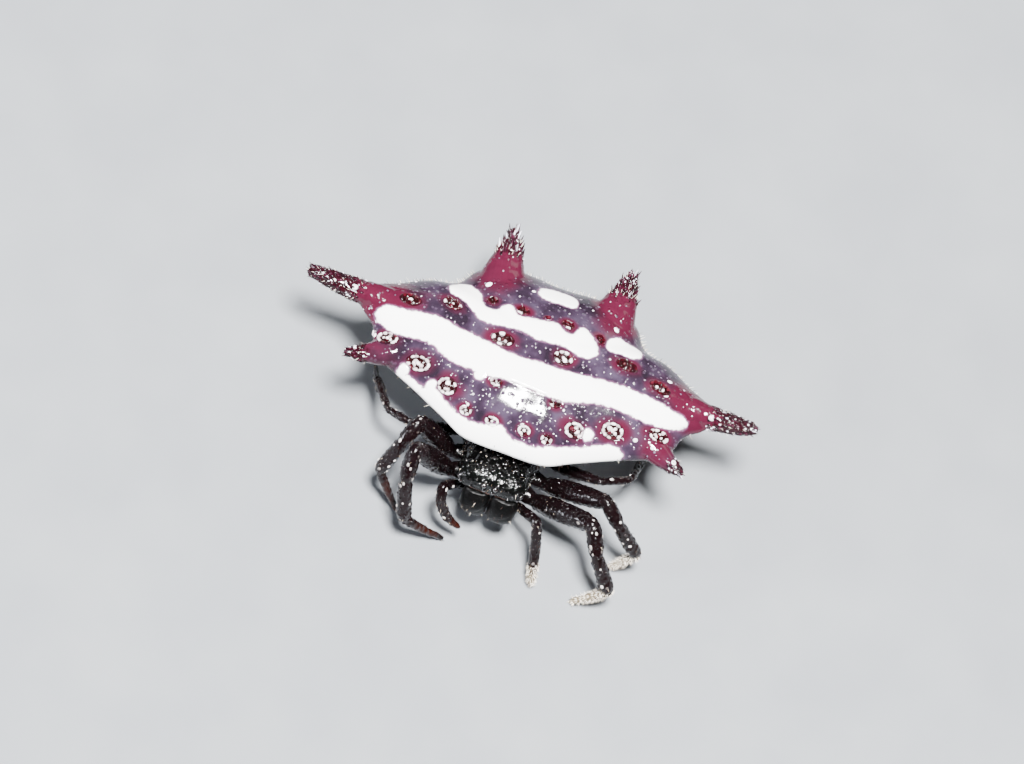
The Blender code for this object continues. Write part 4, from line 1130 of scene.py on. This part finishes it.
# a groove down each side of the raised head, a pit at the middle of the shell, a socket round each eye
groove = np.exp(-((np.abs(verts[:, 0]) - 0.85 + 0.30 * (verts[:, 1] + 3.9)) / 0.10) ** 2)
relief -= 0.035 * groove * (verts[:, 1] < -2.6) * (verts[:, 1] > -3.9) * (ups[:, 2] > 0.2)
fovea = np.hypot(verts[:, 0] / 0.14, (verts[:, 1] + 2.35) / 0.26)
relief -= 0.07 * np.exp(-fovea ** 2) * (ups[:, 2] > 0.3)
for name, (node, x, z, radius, swing) in eyes.items():
    for side, hand in hands:
        inward = np.array((-hand * math.sin(math.radians(swing)), math.cos(math.radians(swing)), 0))
        aim = np.array((x * hand, shell["sections"][-1][0] + 0.18, z))
        place = np.array(headSurface.ray_cast(Vector(aim - inward * 3), Vector(inward))[0]) + inward * 0.01
        eyePlaces.append((f"eye_{name}_{side}", f"{node}_{side}", place, radius))
        away = np.linalg.norm(verts - place, axis=1) / radius
        relief += 0.035 * np.exp(-((away - 1.25) / 0.28) ** 2) - 0.03 * ease(away, 1.0, 0.5)
setCoordinates(headSkin, verts + ups * relief[:, None])
setField(headSkin, "edge", ease(verts[:, 2], 3.20, 3.08) * ease(verts[:, 1], -3.9, -4.2))

lensVerts, lensFaces = ballTemplate(4)
for name, node, place, radius in eyePlaces:
    finishPiece(rawObject(name, place + lensVerts * radius, lensFaces), finishes["eye"], "eye_lens", node)

# tubercles crowded on top of the head, the largest where they catch the light, the larger ones painted paler
# as glints, and a few short hairs
verts, ups = coordinates(headSkin), normals(headSkin)
clearOfEyes = np.min([np.linalg.norm(verts - place, axis=1) / radius
                      for _, _, place, radius in eyePlaces], axis=0)
studWeight = ease(ups[:, 2], -0.1, 0.3) * (clearOfEyes > 1.5) + 1e-6
places, outward, _ = scattered(headSkin, headStuds["tries"], headStuds["spacing"], studWeight)
size = headStuds["radius"][0] + headStuds["radius"][1] * draw.random(len(places)) ** 1.3
studded = surfaceOf(headSkin)
for x, y, radius in headKnobs:
    place, out = dropOn(studded, x, y)
    places, outward, size = np.vstack([places, place]), np.vstack([outward, out]), np.append(size, radius)
count = len(places)
# larger tubercles get paler tones: painted glints
headNodules = copies("headNodules", ballTemplate(2), places, axesOn(outward, draw.normal(size=(count, 3))),
                     np.column_stack([size, size, size * headStuds["high"]]),
                     np.clip(0.25 + 6.0 * (size - 0.03) + draw.normal(0, 0.2, count), 0, 1),
                     headUnwrap(places, outward))
places, outward, _ = scattered(headSkin, headHairs["tries"], headHairs["spacing"], studWeight)
headBristles = hairs("headBristles", places, outward, np.array((0, -1.0, 0.1)), headHairs,
                     headUnwrap(places, outward))
finishPiece(headSkin, finishes["head"], "black_shell", "carapace")
finishPiece(headNodules, finishes["headNodule"], "black_shell")
finishPiece(headBristles, finishes["bristle"], "black_shell")
print("head made, tubercles", len(headNodules.data.polygons), "faces")

# sternum, jaws and fangs
breast = {"z": (1.72, 2.28), "outline": [(0.16, -1.52), (0.42, -1.90), (0.56, -2.40), (0.58, -2.90),
                                         (0.50, -3.30), (0.28, -3.46), (0.22, -3.62)]}
jaw = {
    # height, x, y, half width and half depth of each section, and how far each jaw hangs to her left
    "sections": [(2.90, 0.49, -4.42, 0.42, 0.25), (2.66, 0.49, -4.52, 0.475, 0.33),
                 (2.34, 0.49, -4.58, 0.49, 0.36), (2.00, 0.48, -4.58, 0.475, 0.35),
                 (1.72, 0.46, -4.56, 0.42, 0.31), (1.54, 0.44, -4.52, 0.30, 0.23),
                 (1.47, 0.44, -4.50, 0.15, 0.13)],
    "swing": {"left": 0.145, "right": 0.135}, "sides": 60, "voxel": 0.03,
    # x, y, height and radius from the fang's root to its tip
    "fang": [(0.56, -4.47, 1.62, 0.13), (0.46, -4.42, 1.34, 0.10), (0.22, -4.38, 1.30, 0.05)],
}
jawHairs = {"tries": 40, "spacing": 0.08, "loose": 0.3, "length": (0.10, 0.22), "lift": (0.3, 0.7),
            "curl": (0.3, 0.8), "tones": (0.1, 0.5, 0.9), "toneShares": (0.6, 0.25, 0.15)}


def sternumShape():
    half = breast["outline"]
    outline = smoothPath(half + [(-x, y) for x, y in half[::-1]], 6, closed=True)
    centre = outline.mean(0)
    low, high = breast["z"]
    levels = [(low, 0.4), (low + 0.02, 0.80), (low + 0.10, 0.95), (low + 0.25, 1.0), (high - 0.1, 0.95),
              (high, 0.90)]
    return loft([np.column_stack([centre + (outline - centre) * s, np.full(len(outline), z)])
                 for z, s in levels])


sternumPlate = skinOver("sternumPlate", [sternumShape()], 0.03, 3)
finishPiece(sternumPlate, finishes["head"], "black_shell", "sternum")

for side, hand in hands:
    turn = circle(jaw["sides"])
    c, s = np.cos(turn), np.sin(turn)
    swing = jaw["swing"][side]
    rings = []
    for z, x, y, halfWidth, halfDepth in smoothPath(jaw["sections"], 6):
        rings.append(np.column_stack([hand * (x + halfWidth * np.sign(c) * np.abs(c) ** 0.8) + swing,
                                      y + halfDepth * np.sign(s) * np.abs(s) ** 0.8, np.full(len(turn), z)]))
    fangPath = smoothPath([(x * hand + swing, y, z) for x, y, z, _ in jaw["fang"]], 8)
    fangRadii = spineRadius([radius for *_, radius in jaw["fang"]], np.linspace(0, 1, len(fangPath)))
    jawSkin = skinOver(f"jaw_{side}", [loft(rings), loft(tube(fangPath, fangRadii, 24))], jaw["voxel"], 3)
    verts, ups = coordinates(jawSkin), normals(jawSkin)
    setCoordinates(jawSkin, verts + ups * (0.008 * ripple(verts, 0.3, 41))[:, None])
    weight = (verts[:, 2] > 1.55) * ease(-ups[:, 1], -0.4, 0.2) + 1e-6
    places, outward, _ = scattered(jawSkin, jawHairs["tries"], jawHairs["spacing"], weight)
    jawBristles = hairs(f"jawBristles_{side}", places, outward, np.array((0, -0.3, -1.0)), jawHairs,
                        headUnwrap(places, outward))
    finishPiece(jawSkin, finishes["jaw"], "black_shell", f"chelicera_{side}")
    finishPiece(jawBristles, finishes["bristle"], "black_shell")
print("sternum and jaws made")


# Legs and palps

# where each pair's hip and trochanter lie, from front to rear, on her left; then their heights
hips = [((0.76, -3.40), (1.52, -3.74)), ((0.80, -2.80), (1.66, -3.02)), ((0.80, -2.20), (1.66, -2.24)),
        ((0.72, -1.62), (1.42, -1.42))]
hipZ, trochanterZ, toeZ = 2.00, 2.05, 0.05
# knee, end of the patella, end of the tibia, toe
legPoses = {
    "left": [
        ((3.69, -4.62, 3.60), (4.17, -5.35, 2.90), (4.94, -5.75, 1.50), (3.81, -5.92)),
        ((3.88, -3.70, 3.70), (4.49, -4.11, 3.20), (5.44, -4.19, 1.72), (4.70, -4.16)),
        ((3.46, -2.69, 3.00), (4.43, -2.04, 2.60), (4.60, -0.60, 1.70), (4.50, 0.50)),
        ((3.30, -0.30, 2.98), (3.90, 0.50, 2.75), (4.25, 1.70, 1.60), (3.75, 2.60)),
    ],
    "right": [
        ((-2.78, -4.56, 4.30), (-2.74, -5.35, 3.40), (-2.38, -5.86, 1.70), (-0.83, -5.25)),
        ((-2.97, -3.38, 4.00), (-3.26, -4.06, 3.50), (-3.71, -4.61, 2.00), (-2.57, -4.98)),
        ((-3.31, -3.03, 3.00), (-4.15, -2.69, 2.70), (-4.95, -1.20, 1.90), (-5.15, 0.30)),
        ((-3.30, -0.30, 2.98), (-3.90, 0.50, 2.75), (-4.30, 1.75, 1.60), (-3.85, 2.65)),
    ],
}
legShape = {
    "femurRadius": (0.365, 0.345, 0.190, 0.270), "sides": 36, "step": 0.05, "voxel": 0.032,
    "palpVoxel": 0.028, "footSag": -0.10,
    # places along each length from hip to trochanter, knee, shin, ankle and toe, with the radius there
    # against the femur's
    "profile": [
        [(0.0, 0.78), (0.55, 0.84), (0.85, 0.74), (0.97, 0.62)],
        [(0.03, 0.66), (0.10, 0.80), (0.30, 1.0), (0.60, 1.0), (0.84, 0.90), (0.94, 0.80), (0.985, 0.66)],
        [(0.06, 0.66), (0.28, 0.76), (0.70, 0.74), (0.92, 0.66), (0.985, 0.56)],
        [(0.04, 0.58), (0.14, 0.66), (0.55, 0.70), (0.85, 0.72), (0.97, 0.56)],
        [(0.03, 0.46), (0.10, 0.48), (0.40, 0.42), (0.52, 0.40), (0.56, 0.32), (0.60, 0.36), (0.82, 0.30),
         (0.97, 0.20)],
    ],
    "ankleAt": 0.78, "rounding": 0.16, "uneven": 0.010, "unevenSize": 0.22,
}
limbKnobs = {"tries": 900, "spacing": 0.15, "radius": (0.034, 0.036), "long": (1.1, 1.9), "high": 0.45,
             "tone": (0.32, 0.24), "paintedGlintsBelowKnee": 0.28}
limbHairs = {"tries": 300, "spacing": 0.07, "length": (0.08, 0.18), "lift": (0.28, 0.62),
             "width": (0.008, 0.012), "tone": (0.12, 0.15), "paleShare": 0.07, "pale": 0.85,
             "curl": (0.2, 0.8), "loose": 0.12}
# on pale feet, in rings; whorls is how fast they follow each other along the limb
footComb = {"tries": 3000, "spacing": 0.030, "length": (0.12, 0.19), "lift": (0.90, 1.0),
            "width": (0.010, 0.014), "tone": (0.90, 1.0), "darkShare": 0.14, "dark": 0.6, "whorls": 260,
            "ringAbove": 0.45}
palps = {
    "left": [((0.28, -3.90, 1.74), 0.17), ((0.72, -3.95, 1.78), 0.18), ((1.08, -4.04, 1.88), 0.19),
             ((1.46, -4.42, 2.30), 0.22), ((1.87, -4.72, 2.58), 0.24), ((2.03, -4.98, 2.10), 0.24),
             ((2.16, -5.22, 1.50), 0.25), ((2.27, -5.48, 1.00), 0.24), ((2.38, -5.76, 0.52), 0.18),
             ((2.44, -5.92, 0.22), 0.09)],
    "right": [((-0.28, -3.90, 1.74), 0.17), ((-0.72, -3.95, 1.78), 0.18), ((-1.08, -4.04, 1.88), 0.19),
              ((-1.30, -4.40, 2.36), 0.22), ((-1.50, -4.80, 2.80), 0.24), ((-1.42, -5.08, 2.42), 0.24),
              ((-1.26, -5.17, 1.98), 0.24), ((-1.02, -5.21, 1.58), 0.22), ((-0.72, -5.22, 1.30), 0.17),
              ((-0.45, -5.22, 1.15), 0.09)],
}
palpThickness, palpAnkle = 0.74, 0.82   # thickness against the solids, which are thicker than the real ones


def bentLine(points, radii, step, rounding):
    # a path with its corners eased, and the radius at each place along it
    points, radii = np.array(points, float), np.array(radii, float)
    along = np.concatenate([[0], np.cumsum(np.linalg.norm(np.diff(points, axis=0), axis=1))])
    dense = np.linspace(0, along[-1], int(along[-1] / step) + 2)
    path = np.column_stack([np.interp(dense, along, points[:, k]) for k in range(3)])
    radius = np.interp(dense, along, radii)
    width = max(1, int(rounding / step))
    kernel = np.hanning(2 * width + 3)[1:-1]
    kernel /= kernel.sum()
    padded = np.vstack([np.repeat(path[:1], width, 0), path, np.repeat(path[-1:], width, 0)])
    eased = np.column_stack([np.convolve(padded[:, k], kernel, "valid") for k in range(3)])
    narrow = np.array((0.25, 0.5, 0.25))
    radius = np.convolve(np.concatenate([radius[:1], radius, radius[-1:]]), narrow, "valid")
    return eased, radius, dense / along[-1]


def limbSkin(name, points, radii, voxel, ankle):
    # the skin of a limb; reach runs from 0 at the hip by ankleAt at the ankle to 1 at the toe
    path, radius, reach = bentLine(points, radii, legShape["step"], legShape["rounding"])
    reach = np.interp(reach, (0, ankle, 1), (0, legShape["ankleAt"], 1))
    radius[-1] *= 0.45
    radius[-2] *= 0.8
    obj = skinOver(name, [loft(tube(path, radius, legShape["sides"]))], voxel, 2)
    verts = coordinates(obj)
    verts[:, 2] = np.maximum(verts[:, 2], 0.0)
    ups = normals(obj)
    relief = legShape["uneven"] * ripple(verts, legShape["unevenSize"], 51) * (verts[:, 2] > 0.1)
    setCoordinates(obj, verts + ups * relief[:, None])
    closest = np.argmin(((verts[:, None, :] - path[None, ::2, :]) ** 2).sum(2), axis=1) * 2
    setField(obj, "reach", reach[closest])
    return obj, path, reach, closest


def limbUnwrap(reach, ups, lane):
    # each limb has a tenth of the map, with its length across and its girth up
    turn = (np.arctan2(ups[:, 1], ups[:, 0]) / (2 * math.pi)) % 1
    return np.stack([0.01 + 0.98 * reach, (lane + 0.05 + 0.9 * turn) / 10], 1)


def limbSpots(limb, count, spacing, weight):
    # places on a limb's skin with the limb's direction and reach there
    obj, path, reach, closest = limb
    places, ups, _ = scattered(obj, count, spacing, weight(reach[closest], coordinates(obj)) + 1e-6)
    spot = np.argmin(((places[:, None, :] - path[None]) ** 2).sum(2), axis=1)
    heading = unit(np.gradient(path, axis=0))[spot]
    past = ((places - path[spot]) * heading).sum(1) / legShape["step"]
    return places, ups, heading, np.clip(reach[spot] + past * np.gradient(reach)[spot], 0, 1)


def limbNodules(name, limb, lane):
    # small flat knobs from hip to ankle; the pale ones are painted glints, most of them below the knee
    places, ups, heading, here = limbSpots(limb, limbKnobs["tries"], limbKnobs["spacing"],
                                           lambda r, v: ease(r, 0.06, 0.2) * ease(r, 0.84, 0.76))
    count = len(places)
    (least, more), (tone, spread) = limbKnobs["radius"], limbKnobs["tone"]
    size = least + more * draw.random(count) ** 1.5
    axes = axesOn(ups, heading + draw.normal(scale=0.2, size=(count, 3)))
    sizes = np.column_stack([size * draw.uniform(*limbKnobs["long"], count), size, size * limbKnobs["high"]])
    # pale tones paint glints on the knobs, more of them below the knee
    tones = draw.normal(tone + limbKnobs["paintedGlintsBelowKnee"] * ease(here, 0.38, 0.50), spread, count)
    tones = np.clip(tones, 0, 1)
    return copies(name, ballTemplate(1), places, axes, sizes, tones, limbUnwrap(here, ups, lane))


def limbBristles(name, limb, lane, paleFoot):
    # short dark hairs all along, and on pale feet a comb of longer ones that stands out
    spots = limbSpots(limb, limbHairs["tries"], limbHairs["spacing"],
                      lambda r, v: ease(r, 0.1, 0.25) * (v[:, 2] > 0.05))
    count = len(spots[0])
    drawn = [draw.uniform(*limbHairs[name], count) for name in ("length", "lift", "width")]
    pale = draw.random(count) < limbHairs["paleShare"]
    drawn.append(np.where(pale, limbHairs["pale"], np.clip(draw.normal(*limbHairs["tone"], count), 0, 1)))
    if paleFoot:
        comb = limbSpots(limb, footComb["tries"], footComb["spacing"],
                         lambda r, v: ease(r, 0.765, 0.80) * (v[:, 2] > 0.03))
        comb = [part[np.sin(comb[3] * footComb["whorls"]) > footComb["ringAbove"]] for part in comb]
        count = len(comb[0])
        added = [draw.uniform(*footComb[name], count) for name in ("length", "lift", "width")]
        dark = draw.random(count) < footComb["darkShare"]
        added.append(np.where(dark, footComb["dark"], draw.uniform(*footComb["tone"], count)))
        spots = [np.concatenate(both) for both in zip(spots, comb)]
        drawn = [np.append(*both) for both in zip(drawn, added)]
    places, ups, heading, here = spots
    lengths, lift, width, tones = drawn
    lie = unit(heading + draw.normal(scale=limbHairs["loose"], size=places.shape))
    # no hair pierces the floor
    lowest = places[:, 2] + lengths * ups[:, 2]
    lengths = np.where(lowest < 0.02, np.maximum(0.03, places[:, 2] * 0.8), lengths)
    curl = draw.uniform(*limbHairs["curl"], len(places))
    return bristles(name, places, ups, lie, lengths, width, lift, curl, tones, limbUnwrap(here, ups, lane))


def finishLimb(limb, name, lane, paleFoot, *nodes):
    # skin, nodules and hairs of one limb
    nodules = limbNodules(name.replace("_", "Nodules_", 1), limb, lane)
    limbFuzz = limbBristles(name.replace("_", "Bristles_", 1), limb, lane, paleFoot)
    finishPiece(limb[0], finishes["paleLeg" if paleFoot else "leg"], "leg_cuticle", *nodes)
    finishPiece(nodules, finishes["legNodule"], "leg_cuticle")
    finishPiece(limbFuzz, finishes["bristle"], "leg_cuticle")


# her left front two legs and her left palp end in pale feet; lanes 0 to 9 share out the limbs' map
for side, hand in hands:
    for pair in range(4):
        (hipX, hipY), (trochanterX, trochanterY) = hips[pair]
        knee, shin, ankle, toe = legPoses[side][pair]
        joints = [np.array(p, float) for p in ((hipX * hand, hipY, hipZ),
                                               (trochanterX * hand, trochanterY, trochanterZ),
                                               knee, shin, ankle, (*toe, toeZ))]
        lengths = [np.linalg.norm(b - a) for a, b in zip(joints, joints[1:])]
        points, radii = [], []
        for segment, stations in enumerate(legShape["profile"]):
            start, end = joints[segment], joints[segment + 1]
            for share, scale in stations:
                place = start + (end - start) * share
                if segment == 4:
                    place[2] += legShape["footSag"] * math.sin(math.pi * share)
                points.append(place)
                radii.append(scale * legShape["femurRadius"][pair])
        points[-1][2] = max(points[-1][2], radii[-1] * 0.7)
        name = f"leg_{pair + 1}_{side}"
        limb = limbSkin(name, points, radii, legShape["voxel"], sum(lengths[:4]) / sum(lengths))
        finishLimb(limb, name, pair + (4 if hand < 0 else 0), hand > 0 and pair < 2,
                   *[f"{name}_{part}" for part in ("femur", "tibia", "foot")])
    points, radii = zip(*palps[side])
    name, radii = f"palpLimb_{side}", [r * palpThickness for r in radii]
    limb = limbSkin(name, points, radii, legShape["palpVoxel"], palpAnkle)
    finishLimb(limb, name, 8 if hand > 0 else 9, hand > 0, f"palp_{side}")
print("legs and palps made")


# Floor, light and camera

floorLook = {"halfSize": 400 * mm, "tints": [(0.3, "#6d7074"), (0.7, "#74777a")], "fibreMm": 4.0,
             "roughness": 0.9}


# Backdrop paper: matt, with a faint cloudiness from its pressed fibres.
def paleFloor():
    size = floorLook["halfSize"]
    corners = [(-size, -size, 0), (size, -size, 0), (size, size, 0), (-size, size, 0)]
    floor = rawObject("floor", corners, [(0, 1, 2, 3)])
    material, tree, shader = newMaterial("pale_backdrop_paper")
    place = addNode(tree, "TexCoord", {}, "Object")
    fibre = addNode(tree, "TexNoise", {"Vector": place, "Scale": perMm(floorLook["fibreMm"]), "Detail": 3.0})
    tint = addNode(tree, "ValToRGB", {"Fac": fibre}, stops=floorLook["tints"])
    plug(tree, shader, {"Base Color": tint, "Roughness": floorLook["roughness"]})
    floor.data.materials.append(material)


def areaLight(name, place, aim, size, power, colour):
    data = bpy.data.lights.new(name, "AREA")
    data.shape = "DISK"
    data.size = size
    data.energy = power
    data.color = linear(colour)[:3]
    lamp = bpy.data.objects.new(name, data)
    bpy.context.scene.collection.objects.link(lamp)
    lamp.location = place
    lamp.rotation_mode = "QUATERNION"
    lamp.rotation_quaternion = (Vector(place) - Vector(aim)).to_track_quat("Z", "Y")


# degrees above the plate, how the photo is turned in its own plane, the lens, the photo's scale and middle,
# and a place on the plate with its pixel in the photo
view = {"elevation": 62.0, "tiltRight": (0.9403, 0.3404), "lens": 200.0, "sensor": 36.0, "pixelsPerMm": 29.7,
        "frameCentre": (512.0, 382.0), "aimPixel": (533.5, 350.0), "aimPlace": (-0.19, 0.0, 5.2),
        "frameWidth": 1024, "clip": (0.005, 5.0)}


def photoCamera():
    tilt = math.radians(view["elevation"])
    ahead = Vector((0, math.cos(tilt), -math.sin(tilt)))
    upright = Vector((0, math.sin(tilt), math.cos(tilt)))
    c, s = view["tiltRight"]
    right = Vector((c, 0, 0)) + upright * s
    over = Vector((-s, 0, 0)) + upright * c
    offRight = (view["aimPixel"][0] - view["frameCentre"][0]) / view["pixelsPerMm"]
    offUp = (view["frameCentre"][1] - view["aimPixel"][1]) / view["pixelsPerMm"]
    target = rowShift + (Vector(view["aimPlace"]) - right * offRight - over * offUp) * mm
    distance = view["lens"] / view["sensor"] * view["frameWidth"] / view["pixelsPerMm"] * mm
    data = bpy.data.cameras.new("photoCamera")
    data.lens, data.sensor_width = view["lens"], view["sensor"]
    data.clip_start, data.clip_end = view["clip"]
    camera = bpy.data.objects.new("photoCamera", data)
    bpy.context.scene.collection.objects.link(camera)
    axes = Matrix((right, over, -ahead)).transposed().to_4x4()
    camera.matrix_world = Matrix.Translation(target - ahead * distance) @ axes
    bpy.context.scene.camera = camera


# how far each light stands from the shield and how wide its disc is, in metres, its watts and its colour
lights = {"key": ((0.010, -0.048, 0.183), 0.036, 3.5, "#ffffff"),
          "softbox": ((-0.19, -0.10, 0.06), 0.050, 0.65, "#f2f6ff"),
          "backFill": ((0.12, 0.16, 0.14), 0.10, 0.08, "#fff4e8")}
room = {"colour": "#dfe4ea", "strength": 0.10}

paleFloor()
photoCamera()
heart = rowShift + Vector((0, 0, 4.5)) * mm
for name, (away, size, power, colour) in lights.items():
    areaLight(name, heart + Vector(away), heart, size, power, colour)
world = bpy.data.worlds.new("softRoom")
bpy.context.scene.world = world
world.use_nodes = True
sky = world.node_tree.nodes["Background"]
plug(world.node_tree, sky, {"Color": linear(room["colour"]), "Strength": room["strength"]})
print("stage set")
